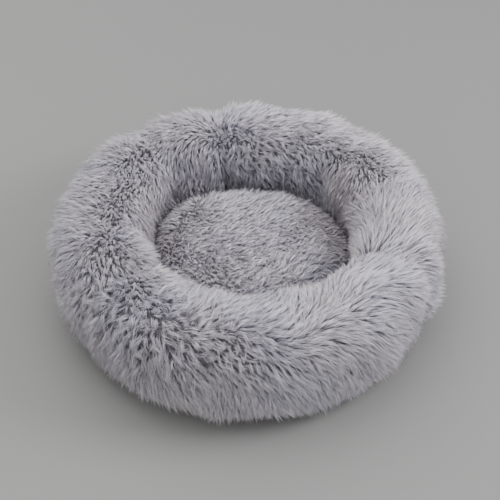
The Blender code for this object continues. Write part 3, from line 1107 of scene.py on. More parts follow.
    def grow(self, skin: bpy.types.Object, pile: Pile, seed: int, name: str, body: Body) -> list[bpy.types.Object]:
        """Grow fur on a skin, in as many pieces as keep each one light, and set them on a body.

        Every piece holds its share of the strands all over the skin, so no edge shows between them.

        Args:
            skin: the mesh to grow on, with its four values on its points; it is used up.
            pile: the fur's measures.
            seed: random seed.
            name: the fur's name, which each piece's number follows.
            body: what the fur rides on.

        Returns:
            The pieces of fur as plain meshes.
        """
        pieces = []
        for share in range(pile.pieces):
            fur = applied(skin, self.graph, {
                **{title: getattr(pile, title.lower()) for title in self.MEASURES},
                "Seed": seed, "Shares": pile.pieces, "Share": share},
                f"{name}_{share + 1}")
            pieces.append(settle(fur, body))
        bpy.data.objects.remove(skin)
        return pieces


def near_turn(turn: np.ndarray, middle: float, width: float) -> np.ndarray:
    """1 at one place round the bed, falling to 0 on both sides of it.

    Args:
        turn: places round the bed, in degrees.
        middle: the place.
        width: how far from it the value has fallen to a third, in degrees.

    Returns:
        One value for each place.
    """
    return np.exp(-(((turn - middle + 180.0) % 360.0 - 180.0) / width) ** 2)


def wander(points: np.ndarray, wavelength: float, seed: int) -> np.ndarray:
    """Smooth random values over space, about -1 to 1.

    Args:
        points: where to read them.
        wavelength: their size in metres.
        seed: random seed.

    Returns:
        One value for each point.
    """
    source = np.random.default_rng(seed)
    waves = 9
    directions = source.normal(size=(waves, 3))
    directions /= np.linalg.norm(directions, axis=1, keepdims=True)
    phases = source.uniform(0, math.tau, waves)
    stretch = source.uniform(0.7, 1.4, waves)
    total = np.sin(points @ (directions * (math.tau / wavelength) * stretch[:, None]).T + phases)
    return total.sum(axis=1) / math.sqrt(waves / 2) * 0.7


# ---- rim -----------------------------------------------------------------------------------------
@dataclass(frozen=True)
class FurPanel:
    """One of the three panels of the fur sleeve, and how its fur is combed.

    The flow says how far the fur lies round the ring, at places in degrees from the panel's start. A
    slant moves those places that far back down the inner wall.
    """

    node: str
    start: float
    span: float
    flow: tuple[tuple[float, float], ...]
    slant: float = 0.0


@dataclass
class Rim:
    """The stuffed fur ring: three padded panels with fur, over the liner and its filling.

    A place round the ring or round its section is given as its middle and how far it fades, in
    degrees. The section is swept from its outer side, over its crest, to its inner wall and foot.
    The foot, which stands on the base, has no fur between the two angles of bare_foot.
    """

    frame: dict
    around: int = 180
    across: int = 44
    skin_depth: float = 0.0130
    tousled: Spot = (238.0, 46.0)
    shaggy: Spot = (78.0, 26.0)
    sleek: Spot = (335.0, 45.0)
    plump: Spot = (140.0, 35.0)
    outer_wall: Spot = (50.0, 48.0)
    inner_wall: Spot = (150.0, 45.0)
    bare_foot: Spot = (236.0, 292.0)
    thin_from: float = 205.0
    pile: Pile = field(default_factory=Pile)
    panels: tuple[FurPanel, ...] = (
        FurPanel("fur_panel_back_left", 102.0, 114.0,
                 ((0.0, 0.8), (50.0, 0.8), (57.0, 0.0), (114.0, 0.25)), 20.0),
        FurPanel("fur_panel_front", 216.0, 120.0, ((0.0, 0.10), (120.0, 0.60))),
        FurPanel("fur_panel_right", 336.0, 126.0, ((0.0, 0.50), (126.0, -1.10))),
    )

    def __post_init__(self) -> None:
        """Read the ring's place from the frame."""
        low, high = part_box("rim_filling")
        self.core_height = (low.z + high.z) / 2
        self.core_radius = (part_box("floor_lining")[1].x + high.x) / 2
        self.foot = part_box("rim_liner")[0].z
        self.turns = np.arange(self.around) * math.tau / self.around
        self.sweeps = np.arange(self.across) * math.tau / self.across

    def _outline(self) -> np.ndarray:
        """Measure how far the ring's outside is from its core.

        Returns:
            One distance for each turn round the ring and each sweep of its section.
        """
        tree = outer_surface([panel.node for panel in self.panels] + ["rim_liner"], self.frame)
        reach = 0.2
        distance = np.zeros((self.around, self.across))
        for row, turn in enumerate(self.turns):
            outward = Vector((math.cos(turn), math.sin(turn), 0.0))
            core = outward * self.core_radius + Vector((0.0, 0.0, self.core_height))
            for column, sweep in enumerate(self.sweeps):
                away = outward * math.cos(sweep) + Vector((0.0, 0.0, math.sin(sweep)))
                hit = tree.ray_cast(core + away * reach, -away, reach)
                distance[row, column] = reach - hit[3] if hit[0] is not None else 0.05
        return distance

    def _points(self, distance: np.ndarray) -> np.ndarray:
        """The skin's points from distances to its core.

        Args:
            distance: one for each turn and each sweep.

        Returns:
            The points, by turn and by sweep.
        """
        turn, sweep = np.meshgrid(self.turns, self.sweeps, indexing="ij")
        radius = self.core_radius + distance * np.cos(sweep)
        height = self.core_height + distance * np.sin(sweep)
        return np.stack([radius * np.cos(turn), radius * np.sin(turn), np.maximum(height, self.foot)], -1)

    def _skin(self) -> bpy.types.Object:
        """Make the whole padded ring under the fur.

        Returns:
            The ring.
        """
        distance = self._outline()
        underneath = np.clip((np.sin(self.sweeps + math.pi) - 0.80) / 0.15, 0.0, 1.0)
        inner_foot = np.clip((-np.sin(self.sweeps) - 0.35) / 0.30, 0.0, 1.0) * (np.cos(self.sweeps) < 0.0)
        depth = self.skin_depth * (1.0 - np.maximum(underneath, inner_foot))
        points = self._points(smoothed(distance - depth, 2)).reshape(-1, 3)
        faces = grid_faces(self.around, self.across, wrap_rows=True)
        skin = new_object("rim_skin", points, [face[1:] + face[:1] for face in faces])
        held = np.zeros((self.around, self.across))
        for panel in self.panels:
            held[round(panel.start / 360.0 * self.around) % self.around, :] = 1.0
        held[:, underneath > 0.2] = 1.0
        Stuffing(cap=0.006).fill(skin, held.ravel())
        return skin

    def _comb(self, points: np.ndarray) -> np.ndarray:
        """Which way the fur lies at each point of the skin, as a vector along the skin.

        Args:
            points: the skin's points, in rows round the ring and columns round its section.

        Returns:
            One vector for each point.
        """
        grid = points.reshape(self.around, self.across, 3)
        inward = np.roll(grid, -1, 1) - np.roll(grid, 1, 1)
        onward = np.roll(grid, -1, 0) - np.roll(grid, 1, 0)
        inward /= np.linalg.norm(inward, axis=2, keepdims=True)
        onward -= inward * (onward * inward).sum(2, keepdims=True)
        onward /= np.linalg.norm(onward, axis=2, keepdims=True)
        turn, sweep = np.meshgrid(np.degrees(self.turns), np.degrees(self.sweeps), indexing="ij")
        parting = (96.0 - 34.0 * near_turn(turn, 268.0, 52.0) + 16.0 * near_turn(turn, 0.0, 45.0)
                   + 16.0 * near_turn(turn, 175.0, 50.0))
        fall = np.tanh(((sweep + 90.0) % 360.0 - 90.0 - parting) / 36.0)
        sideways = np.zeros_like(fall)
        for panel in self.panels:
            along = (turn - panel.start) % 360.0
            lower = np.clip((sweep - 105.0) / 85.0, 0.0, 1.0)
            share = np.interp(along + panel.slant * lower, *zip(*panel.flow))
            sideways = np.where(along < panel.span, share, sideways)
        sideways = sideways + 1.0 * (1.0 - fall ** 2) * np.sign(sideways)
        swirl = 0.40 * wander(points, 0.16, 3) + 0.28 * wander(points, 0.055, 4)
        swirl = swirl.reshape(self.around, self.across)
        down = fall * np.cos(swirl) - sideways * np.sin(swirl)
        side = fall * np.sin(swirl) + sideways * np.cos(swirl)
        comb = inward * down[..., None] + onward * side[..., None]
        comb /= np.maximum(np.linalg.norm(comb, axis=2, keepdims=True), 1e-6)
        firm = 0.85 + 0.25 * wander(points, 0.09, 5).reshape(self.around, self.across)
        return (comb * firm[..., None]).reshape(-1, 3)

    def _part(self, skin: bpy.types.Object, first: int, last: int, name: str) -> bpy.types.Object:
        """A stretch of the skin between two rows, with its combing.

        Args:
            skin: the whole skin.
            first: the stretch's first row.
            last: its last row, which may count on past the end.
            name: the stretch's name.

        Returns:
            The stretch, open at both ends.
        """
        points = points_of(skin)
        comb = self._comb(points)
        sweep = np.degrees(self.sweeps)
        bare, furred = self.bare_foot
        cover = np.where((sweep > bare) & (sweep < furred), 0.0, 1.0)
        cover = np.where((sweep > self.thin_from) & (sweep <= bare), 0.5, cover)
        inner = np.clip(1.0 - np.abs(sweep - 185.0) / 55.0, 0.0, 1.0)
        pile = 1.0 - 0.25 * inner
        rows = [row % self.around for row in range(first, last + 1)]
        columns = self.across
        index = np.array([[row * columns + column for column in range(columns)] for row in rows]).ravel()
        part = new_object(name, points[index], grid_faces(len(rows), columns))
        write_attribute(part, "comb", comb[index])
        turn = np.repeat(np.degrees(self.turns[rows]), columns)
        around_section = np.tile(sweep, len(rows))
        outside = near_turn(around_section, *self.outer_wall)
        inner_middle, inner_width = self.inner_wall
        inside = np.exp(-((around_section - inner_middle) / inner_width) ** 2)
        tousled = near_turn(turn, *self.tousled) * outside
        shaggy = near_turn(turn, *self.shaggy) * inside
        sleek = near_turn(turn, *self.sleek)
        write_attribute(part, "cover", np.tile(cover, len(rows)) * (1.0 - 0.32 * tousled - 0.20 * shaggy))
        fullness = 1.0 + 0.28 * tousled + 0.25 * shaggy + 0.15 * near_turn(turn, *self.plump) * outside
        unevenness = 1.0 + 0.10 * wander(points[index], 0.05, 8)
        write_attribute(part, "pile", np.tile(pile, len(rows)) * unevenness * fullness)
        write_attribute(part, "mess", 0.9 + 1.3 * tousled + 1.3 * shaggy - 0.40 * sleek)
        return part

    def build(self, coat: FurCoat, finishes: dict[str, bpy.types.Material]) -> None:
        """Make the padded panels, their fur, the liner and the filling.

        Args:
            coat: grows the fur.
            finishes: the materials by slot, with "backing" for the cloth under the fur.
        """
        skin = self._skin()
        for number, panel in enumerate(self.panels):
            first = round(panel.start / 360.0 * self.around)
            last = round((panel.start + panel.span) / 360.0 * self.around)
            padding = self._part(skin, first, last, panel.node.replace("fur_panel", "padded_panel"))
            close_ends(padding, self.across)
            dress(padding, Body.BED, "fur", finishes["backing"], panel.node)
            ground = self._part(skin, first, last, "ground")
            coat.grow(ground, self.pile, 100 * number + 1, panel.node.replace("fur_panel", "fur"),
                      Body.BED)
        bpy.data.objects.remove(skin)
        SoftCopy("rim_liner", "liner_cloth", Body.BED, 0.0004, levels=1, fill=0.8).build(
            self.frame, finishes["liner_cloth"])
        SoftCopy("rim_filling", "fibre_filling", Body.BED, 0.0012, levels=1, fill=0.8).build(
            self.frame, finishes["fibre_filling"])


def close_ends(thing: bpy.types.Object, columns: int) -> None:
    """Close the two open ends of a stretch of tube with a fan to their middle.

    Args:
        thing: the stretch, whose points run in rows round it.
        columns: how many points are in a row.
    """
    shape = bmesh.new()
    shape.from_mesh(thing.data)
    verts = list(shape.verts)
    for start, flip in ((0, False), (len(verts) - columns, True)):
        loop = verts[start:start + columns]
        middle = shape.verts.new(sum((vertex.co for vertex in loop), Vector()) / columns)
        for column, vertex in enumerate(loop):
            following = loop[(column + 1) % columns]
            shape.faces.new((vertex, following, middle) if flip else (following, vertex, middle))
    bmesh.ops.recalc_face_normals(shape, faces=shape.faces)
    shape.to_mesh(thing.data)
    shape.free()
    thing.data.shade_smooth()


# ---- soft inner pieces ---------------------------------------------------------------------------
@dataclass(frozen=True)
class SoftCopy:
    """A soft piece made from its plain solid: rounded, made finer, and given uneven lumps."""

    node: str
    slot: str
    body: Body
    lumps: float
    levels: int = 2
    fill: float | None = None
    wavelength: float = 0.045

    def build(self, frame: dict, finish: bpy.types.Material) -> bpy.types.Object:
        """Make the piece and let it stand for its node.

        Args:
            frame: the loaded frame.
            finish: its material.

        Returns:
            The piece.
        """
        plain = merged_copy(self.node, self.node + "_plain", frame, flat_faces=False)
        step = plain.modifiers.new("rounding", "SUBSURF")
        step.levels = self.levels
        step.render_levels = self.levels
        piece = baked(plain, "soft_" + self.node)
        bpy.data.objects.remove(plain)
        piece.data.shade_smooth()
        sink_unevenly(piece, self.lumps, self.wavelength)
        dress(piece, self.body, self.slot, finish, self.node)
        return piece


@dataclass(frozen=True)
class HardCopy:
    """A hard piece made from its plain solid, with its edges rounded over."""

    node: str
    slot: str
    body: Body
    edge: float

    def build(self, frame: dict, finish: bpy.types.Material) -> bpy.types.Object:
        """Make the piece and let it stand for its node.

        Args:
            frame: the loaded frame.
            finish: its material.

        Returns:
            The piece.
        """
        plain = merged_copy(self.node, self.node + "_plain", frame, flat_faces=True)
        step = plain.modifiers.new("edges", "BEVEL")
        step.width = self.edge
        step.segments = 3
        step.limit_method = "ANGLE"
        piece = baked(plain, "finished_" + self.node)
        bpy.data.objects.remove(plain)
        piece.data.shade_smooth()
        piece.data.set_sharp_from_angle(angle=math.radians(40.0))
        return dress(piece, self.body, self.slot, finish, self.node)


# ---- sewing --------------------------------------------------------------------------------------
class Sewing:
    """Geometry Nodes trees for what repeats along a line: stitches, and the coil of a zip."""

    COIL_SLANT = 14.0

    def __init__(self, thread: bpy.types.Material, coil: bpy.types.Material) -> None:
        """Build both trees.

        Args:
            thread: what the stitches are made of.
            coil: what the zip's coil is made of.
        """
        self.stitches = GeometryGraph("stitches", {
            "Pitch": 0.004, "Length": 0.003,
            "Girth": 0.0005, "Finish": thread})
        graph = self.stitches
        bead = graph.add("GeometryNodeMeshUVSphere", {}, {"Segments": 6, "Rings": 4, "Radius": 0.5})
        size = graph.vector(graph.given("Length"), graph.given("Girth"), graph.given("Girth"))
        bead = graph.shape("GeometryNodeTransform", bead, Scale=size)
        self._along_line(graph, bead)
        self.coil = GeometryGraph("zip_coil", {
            "Pitch": 0.0015, "Width": 0.0026,
            "Height": 0.0022, "Wire": 0.0003,
            "Finish": coil})
        graph = self.coil
        loop = graph.add("GeometryNodeCurvePrimitiveCircle", {}, {"Resolution": 10, "Radius": 0.5}, "Curve")
        wire = graph.add("GeometryNodeCurvePrimitiveCircle", {}, {
            "Resolution": 5, "Radius": graph.given("Wire")}, "Curve")
        inner = graph.given("Wire") * 2.0
        size = graph.vector(graph.given("Height") - inner, graph.given("Width") - inner, 1.0)
        loop = graph.shape("GeometryNodeTransform", loop, Scale=size)
        loop = graph.shape("GeometryNodeTransform", loop,
                           Rotation=(0.0, math.radians(90.0), math.radians(self.COIL_SLANT)))
        loop = graph.add("GeometryNodeCurveToMesh", {}, {"Curve": loop, "Profile Curve": wire})
        self._along_line(graph, loop)

    @staticmethod
    def _along_line(graph: GeometryGraph, shape: Wire) -> None:
        """Set one shape after another along the line that the tree is given.

        Args:
            graph: the tree.
            shape: what repeats.
        """
        line = graph.add("GeometryNodeMeshToCurve", {}, {"Mesh": graph.given("Geometry")})
        line = graph.add("GeometryNodeResampleCurve", {"mode": "LENGTH"}, {
            "Curve": line, "Length": graph.given("Pitch")})
        turned = graph.add("FunctionNodeAlignRotationToVector", {"axis": "X"}, {
            "Vector": graph.add("GeometryNodeInputTangent")})
        graph.result(graph.copied_to(line, shape, Rotation=turned))

    @staticmethod
    def along(graph: GeometryGraph, lines: Sequence[Sequence[Point]], name: str, body: Body, slot: str,
              **values: float) -> bpy.types.Object:
        """Run one of the trees along some lines.

        Args:
            graph: the tree.
            lines: the points of each line.
            name: the piece's name.
            body: what it rides on.
            slot: the record's material slot; not used.
            values: the tree's inputs.

        Returns:
            The piece.
        """
        mesh = bpy.data.meshes.new("line")
        points = [point for line in lines for point in line]
        starts = np.cumsum([0] + [len(line) for line in lines])
        edges = [(start + step, start + step + 1) for start, line in zip(starts, lines)
                 for step in range(len(line) - 1)]
        mesh.from_pydata(points, edges, [])
        guide = bpy.data.objects.new("line", mesh)
        bpy.context.scene.collection.objects.link(guide)
        piece = applied(guide, graph, values, name)
        bpy.data.objects.remove(guide)
        return settle(piece, body)


def signed_power(value: float, exponent: float) -> float:
    """A power that keeps the sign, for rounded squares."""
    return math.copysign(abs(value) ** exponent, value)


def ring_line(radius: float, height: float, steps: int = 180) -> list[Point]:
    """Points of a level circle about the bed's middle, from its start back to its start."""
    return [(radius * math.cos(math.tau * step / steps), radius * math.sin(math.tau * step / steps), height)
            for step in range(steps + 1)]


# ---- base ----------------------------------------------------------------------------------------
@dataclass
class Base:
    """The underside: two cloth halves with grip dots, their wadding, the well's lining and the binding."""

    frame: dict
    sewing: Sewing
    thickness: float = 0.0009
    grip: float = 0.0006
    dot_pitch: float = 0.0140
    dot_radius: float = 0.0017
    slot_half_length: float = 0.150
    slot_half_width: float = 0.0066
    clear_of_slot: float = 0.0100
    sag: float = 0.0012
    binding_width: float = 0.0123
    wadding_rise: float = 0.0110
    wadding_edge: float = 0.0030
    rise_from: float = 0.185
    rise_to: float = 0.205

    def __post_init__(self) -> None:
        """Read the base's size from the frame."""
        self.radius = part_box("base_fabric_back")[1].x

    def _half(self, side: int) -> np.ndarray:
        """Points of one half of the underside, from the zip's slot out to the edge.

        Args:
            side: 1 for the back half, -1 for the front half.

        Returns:
            Rows by columns of points.
        """
        node = "base_fabric_back" if side > 0 else "base_fabric_front"
        tree = outer_surface([node], self.frame)
        turns = np.concatenate([[0.0], np.linspace(0.01, math.pi - 0.01, 79), [math.pi]])
        slot = np.stack([self.slot_half_length * np.cos(turns),
                         np.full(len(turns), self.slot_half_width)], -1)
        slot[[0, -1], 1] = 0.0
        edge = np.stack([self.radius * np.cos(turns), self.radius * np.sin(turns)], -1)
        share = np.linspace(0.0, 1.0, 22)[:, None, None]
        flat = slot + (edge - slot) * share
        if side < 0:
            flat = flat[:, ::-1]
        grid = np.concatenate([flat * (1, side), np.zeros(flat.shape[:2] + (1,))], -1)
        ripples = wander(grid.reshape(-1, 3), 0.06, 31).reshape(grid.shape[:2])
        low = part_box(node)[0].z
        for row, column in np.ndindex(grid.shape[:2]):
            # The half is turned, so its height at any distance is read clear of the slot and of the gap
            # between the halves, where a ray would pass through.
            away = max(self.clear_of_slot, math.hypot(grid[row, column, 0], grid[row, column, 1]))
            below = Vector((0.30 * away, side * 0.95 * away, -1.0))
            rise = tree.ray_cast(below, Vector((0.0, 0.0, 1.0)))[0].z - low
            sag = self.sag * min(1.0, rise / 0.004) * (0.5 + 0.5 * ripples[row, column])
            off_zip = min(1.0, max(0.0, abs(grid[row, column, 1]) - 0.015) / 0.03)
            grid[row, column, 2] = low + self.grip + rise - sag * off_zip
        return grid

    def _dots(self, fabric: bpy.types.Object, rubber: bpy.types.Material, name: str) -> None:
        """Rubber grip dots in staggered rows on the underside of a fabric.

        Args:
            fabric: the fabric.
            rubber: what the dots are made of.
            name: the dots' name.
        """
        graph = GeometryGraph("grip_dots", {
            "Reach": 0.25, "Pitch": 0.014,
            "Radius": 0.0017, "Height": 0.0006,
            "Bare": 0.026, "Finish": rubber})
        reach = graph.given("Reach") * 2.0
        across = graph.add("ShaderNodeMath", {"operation": "ROUND"}, {0: reach / graph.given("Pitch")})
        field_of_points = graph.add("GeometryNodeMeshGrid", {}, {
            "Size X": reach, "Size Y": reach, "Vertices X": across, "Vertices Y": across}, "Mesh")
        index = graph.add("GeometryNodeInputIndex")
        line = graph.add("ShaderNodeMath", {"operation": "FLOOR"}, {0: (index + 0.5) / across})
        stagger = graph.vector(y=line.remainder(2.0) * graph.given("Pitch") * 0.5, z=-1.0)
        staggered = graph.shape("GeometryNodeSetPosition", field_of_points, Offset=stagger)
        found = graph.node("GeometryNodeRaycast", {}, {
            "Target Geometry": graph.given("Geometry"), "Ray Direction": (0.0, 0.0, 1.0), "Ray Length": 2.0})
        missed = graph.add("FunctionNodeBooleanMath", {"operation": "NOT"}, {
            0: Wire(graph, found.outputs["Is Hit"])})
        _, off_zip, _ = graph.add("GeometryNodeInputPosition").parts()
        near_zip = graph.add("FunctionNodeCompare", {"data_type": "FLOAT", "operation": "LESS_THAN"}, {
            0: off_zip.at_least(off_zip * -1.0), 1: graph.given("Bare")})
        bare = graph.add("FunctionNodeBooleanMath", {"operation": "OR"}, {0: missed, 1: near_zip})
        kept = graph.stored(staggered, "spot", Wire(graph, found.outputs["Hit Position"]))
        kept = graph.add("GeometryNodeDeleteGeometry", {"domain": "POINT"}, {
            "Geometry": kept, "Selection": bare})
        kept = graph.shape("GeometryNodeSetPosition", kept, Position=graph.named("spot"))
        dome = graph.add("GeometryNodeMeshUVSphere", {}, {"Segments": 8, "Rings": 4, "Radius": 1.0})
        size = graph.vector(graph.given("Radius"), graph.given("Radius"), graph.given("Height"))
        graph.result(graph.copied_to(kept, dome, Scale=size))
        values = {"Reach": self.radius, "Pitch": self.dot_pitch, "Radius": self.dot_radius,
                  "Height": self.grip}
        settle(applied(fabric, graph, values, name), Body.BED)

    def _wadding(self, finish: bpy.types.Material) -> None:
        """The pad inside the base: thin over the zip, thick at its edge, with a rounded outer edge.

        Args:
            finish: its material.
        """
        low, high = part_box("base_wadding")
        edge, round_over = high.x, self.wadding_edge
        section = [(radius, low.z + self.wadding_rise) for radius in np.linspace(0.0, self.rise_from, 20)]
        section += [(radius, low.z) for radius in np.linspace(self.rise_to, edge - round_over, 5)]
        section += [(edge, low.z + round_over), (edge, (low.z + high.z) / 2), (edge, high.z - round_over)]
        section += [(radius, high.z) for radius in np.linspace(edge - round_over, 0.0, 24)]
        pad = lathe("padded_wadding", section, 0.0005, 0.05)
        dress(pad, Body.BED, "fibre_filling", finish, "base_wadding")

    def build(self, finishes: dict[str, bpy.types.Material]) -> None:
        """Make the whole base.

        Args:
            finishes: the materials by slot, with "rubber" for the dots.
        """
        slot_area = self.slot_half_length * 2 * self.slot_half_width
        for side, word in ((1, "back"), (-1, "front")):
            fabric = cloth("underside_" + word, self._half(side), self.thickness)
            dress(fabric, Body.BED, "base_cloth", finishes["base_cloth"], "base_fabric_" + word)
            math.pi * self.radius ** 2 / 2 - slot_area
            self._dots(fabric, finishes["rubber"], "grip_dots_" + word)
        self._wadding(finishes["fibre_filling"])
        low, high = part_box("floor_lining")
        grid = disc_grid("floor_lining", self.frame, low.z, 0.0004, 41)
        lining = cloth("well_lining", grid, high.z - low.z, wrap=True)
        dress(lining, Body.BED, "lining_cloth", finishes["lining_cloth"], "floor_lining")
        low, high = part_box("base_binding")
        half_width, half_height = self.binding_width / 2, (high.z - low.z) / 2
        section = [(high.x - half_width + half_width * signed_power(math.cos(turn), 0.4),
                    low.z + half_height + half_height * signed_power(math.sin(turn), 0.6))
                   for turn in np.linspace(0.0, math.tau, 25)]
        binding = lathe("padded_binding", section, 0.0003, 0.02)
        dress(binding, Body.BED, "binding_tape", finishes["binding_tape"], "base_binding")
        self.sewing.along(self.sewing.stitches, [
            ring_line(high.x, (low.z + high.z) / 2), ring_line(high.x - 0.0035, low.z)],
            "binding_stitches", Body.BED, "binding_tape", Pitch=0.0042, Length=0.0032, Girth=0.0006)


# ---- zip -----------------------------------------------------------------------------------------
@dataclass
class Zip:
    """The coil zip along the middle of the underside, with its stops, slider and pull."""

    frame: dict
    sewing: Sewing
    coil_pitch: float = 0.0015
    coil_wire: float = 0.0003

    def build(self, finishes: dict[str, bpy.types.Material]) -> None:
        """Make the tapes, coils and metal pieces.

        Args:
            finishes: the materials by slot.
        """
        seams = []
        for word in ("front", "back"):
            low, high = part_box("zip_tape_" + word)
            x, y = np.meshgrid(np.linspace(low.x, high.x, 121), np.linspace(low.y, high.y, 9), indexing="ij")
            flat = np.stack([x, y, np.full(x.shape, low.z)], -1)
            ripple = wander(flat.reshape(-1, 3), 0.03, 51).reshape(x.shape)
            flat[..., 2] += 0.00012 * ripple
            tape = cloth("woven_tape_" + word, flat, high.z - low.z)
            dress(tape, Body.BED, "zip_tape", finishes["zip_tape"], "zip_tape_" + word)
            outer = low.y if word == "front" else high.y
            inward = 1.0 if word == "front" else -1.0
            for inset in (0.0085, 0.0105):
                side = outer + inward * inset
                seams.append([(low.x, side, low.z), (high.x, side, low.z)])
            low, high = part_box("zip_teeth_" + word)
            middle = (low + high) / 2
            line = [(low.x, middle.y, middle.z), (high.x, middle.y, middle.z)]
            coil = self.sewing.along(self.sewing.coil, [line], "coil_" + word, Body.BED, "zip_coil",
                                     Pitch=self.coil_pitch, Width=high.y - low.y, Height=high.z - low.z,
                                     Wire=self.coil_wire)
            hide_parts("zip_teeth_" + word)
        self.sewing.along(self.sewing.stitches, seams, "zip_stitches", Body.BED, "zip_tape", Pitch=0.0036,
                          Length=0.0028, Girth=0.0005)
        for node, body, edge in (("zip_top_stop", Body.BED, 0.0005),
                                 ("zip_bottom_stop", Body.BED, 0.0005),
                                 ("zip_slider", Body.ZIP_SLIDER, 0.00025),
                                 ("zip_pull_tab", Body.ZIP_PULL, 0.00035)):
            HardCopy(node, "zip_metal", body, edge).build(self.frame, finishes["zip_metal"])


# ---- label ---------------------------------------------------------------------------------------
@dataclass
class CareLabel:
    """A blank satin ribbon, folded once and caught in the binding at the back."""

    width: float = 0.030
    drop: float = 0.0175
    ribbon: float = 0.00022
    gap: float = 0.0010

    def build(self, finish: bpy.types.Material) -> None:
        """Make the ribbon where the frame has the label.

        Args:
            finish: its material.
        """
        low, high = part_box("care_label")
        middle = (low + high) / 2
        outward = Vector((middle.x, middle.y, 0.0)).normalized()
        along = Vector((-outward.y, outward.x, 0.0))
        start = outward * (Vector((middle.x, middle.y, 0.0)).length - self.drop / 2)
        top = [(self.drop * share, middle.z + self.gap / 2 - 0.0016 * share ** 2)
               for share in np.linspace(0, 0.94, 12)]
        fold_reach, fold_height = top[-1][0], top[-1][1] - self.gap / 2
        fold = [(fold_reach + self.gap * 0.9 * math.cos(turn),
                 fold_height + self.gap / 2 * math.sin(turn))
                for turn in np.radians((60, 30, 0, -30, -60))]
        under = [(reach, height - self.gap) for reach, height in reversed(top)]
        rows = []
        for reach, height in top + fold + under:
            row = []
            for side in np.linspace(-self.width / 2, self.width / 2, 15):
                curl = 0.0004 * math.sin(side * 190.0) * reach / self.drop
                place = start + outward * reach + along * side
                row.append((place.x, place.y, height + curl))
            rows.append(row)
        label = cloth("satin_label", np.array(rows), self.ribbon)
        dress(label, Body.BED, "label_satin", finish, "care_label")


# ---- loose cushion -------------------------------------------------------------------------------
@dataclass
class Cushion:
    """The loose cushion: a stuffed dome in shorter, curlier fur on a plain underside."""

    frame: dict
    around: int = 120
    rows: int = 34
    skin_depth: float = 0.0020
    pile: Pile = field(default_factory=lambda: Pile(
        length=0.018, strands=290000.0, locks=90000.0, girth=0.00047, gather=0.72, lift=0.75,
        stray=0.25, wander=0.75, droop=0.03, pieces=2))

    def __post_init__(self) -> None:
        """Read the cushion's place from the frame."""
        low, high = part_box("cushion_fur_top")
        self.centre = (low + high) / 2
        self.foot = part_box("cushion_base_cloth")[0].z
        self.seam_height = low.z
        self.half_width = (high.x - low.x) / 2

    def _skin(self) -> bpy.types.Object:
        """Make the stuffed cushion under its fur.

        Returns:
            The cushion's skin.
        """
        tree = outer_surface(["cushion_fur_top", "cushion_base_cloth"], self.frame)
        reach = 0.4
        slopes = np.linspace(90.0, -90.0, self.rows + 2)[1:-1]
        slopes = np.degrees(np.arctan(np.tan(np.radians(slopes)) * 0.25))
        points = []
        held = []
        for slope in np.radians(slopes):
            for step in range(self.around):
                turn = math.tau * step / self.around
                away = Vector((math.cos(turn) * math.cos(slope), math.sin(turn) * math.cos(slope),
                               math.sin(slope)))
                hit = tree.ray_cast(self.centre + away * reach, -away, reach)[0]
                place = hit - away * (self.skin_depth if hit.z > self.seam_height + 0.002 else 0.001)
                place.z = max(place.z, self.foot + 0.0004)
                points.append(place)
                held.append(1.0 if hit.z <= self.seam_height + 0.002 else 0.0)
        faces: list[tuple[int, ...]] = list(grid_faces(self.rows, self.around))
        top, bottom = len(points), len(points) + 1
        points += [(self.centre.x, self.centre.y, points[0].z),
                   (self.centre.x, self.centre.y, self.foot + 0.0004)]
        held += [0.0, 1.0]
        last = (self.rows - 1) * self.around
        for step in range(self.around):
            after = (step + 1) % self.around
            faces.append((top, step, after))
            faces.append((bottom, last + after, last + step))
        skin = new_object("padded_cushion", points, faces)
        Stuffing(pressure=3.0, cap=0.005).fill(skin, np.array(held))
        return skin

    def _comb(self, points: np.ndarray, normals: np.ndarray) -> np.ndarray:
        """Swirls of curled fur, which turn from place to place.

        Args:
            points: the skin's points.
            normals: its outward direction at each of them.

        Returns:
            One vector for each point.
        """
        turn = 0.8 * wander(points, 0.18, 21) + 0.5 * wander(points, 0.05, 22) - 0.7
        lie = np.stack([np.cos(turn), np.sin(turn), np.zeros(len(points))], -1)
        outward = (points - np.array([*self.centre])) / self.half_width
        lie += outward * np.clip(np.linalg.norm(outward[:, :2], axis=1) - 0.70, 0.0, 1.0)[:, None] * 6.0
        lie -= normals * (lie * normals).sum(1, keepdims=True)
        return lie / np.maximum(np.linalg.norm(lie, axis=1, keepdims=True), 1e-6) * 0.9

    def build(self, coat: FurCoat, finishes: dict[str, bpy.types.Material]) -> None:
        """Make the stuffed cushion, its fur, its filling and its underside.

        Args:
            coat: grows the fur.
            finishes: the materials by slot, with "backing" for the cloth under the fur.
        """
        skin = self._skin()
        points, normals = points_of(skin), normals_of(skin)
        ground = new_object("ground", points, [tuple(face.vertices) for face in skin.data.polygons])
        write_attribute(ground, "comb", self._comb(points, normals))
        sides = np.clip((points[:, 2] - self.seam_height - 0.001) / 0.006, 0.0, 1.0)
        write_attribute(ground, "cover", np.where(normals[:, 2] < -0.75, 0.0, sides))
        write_attribute(ground, "pile", 1.0 + 0.15 * wander(points, 0.04, 23))
        towards_front = np.clip(0.5 - (points[:, 1] - self.centre.y) / (2 * self.half_width), 0.0, 1.0)
        write_attribute(ground, "mess", 0.55 + 0.9 * towards_front)
        dress(skin, Body.CUSHION, "cushion_fur", finishes["backing"], "cushion_fur_top")
        coat.grow(ground, self.pile, 900, "cushion_fur", Body.CUSHION)
        SoftCopy("cushion_filling", "fibre_filling", Body.CUSHION, 0.0012, fill=0.7).build(
            self.frame, finishes["fibre_filling"])
        low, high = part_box("cushion_base_cloth")
        grid = disc_grid("cushion_base_cloth", self.frame, low.z, 0.0003, 61)
        under = cloth("cushion_underside", grid, high.z - low.z, wrap=True)
        dress(under, Body.CUSHION, "lining_cloth", finishes["lining_cloth"], "cushion_base_cloth")


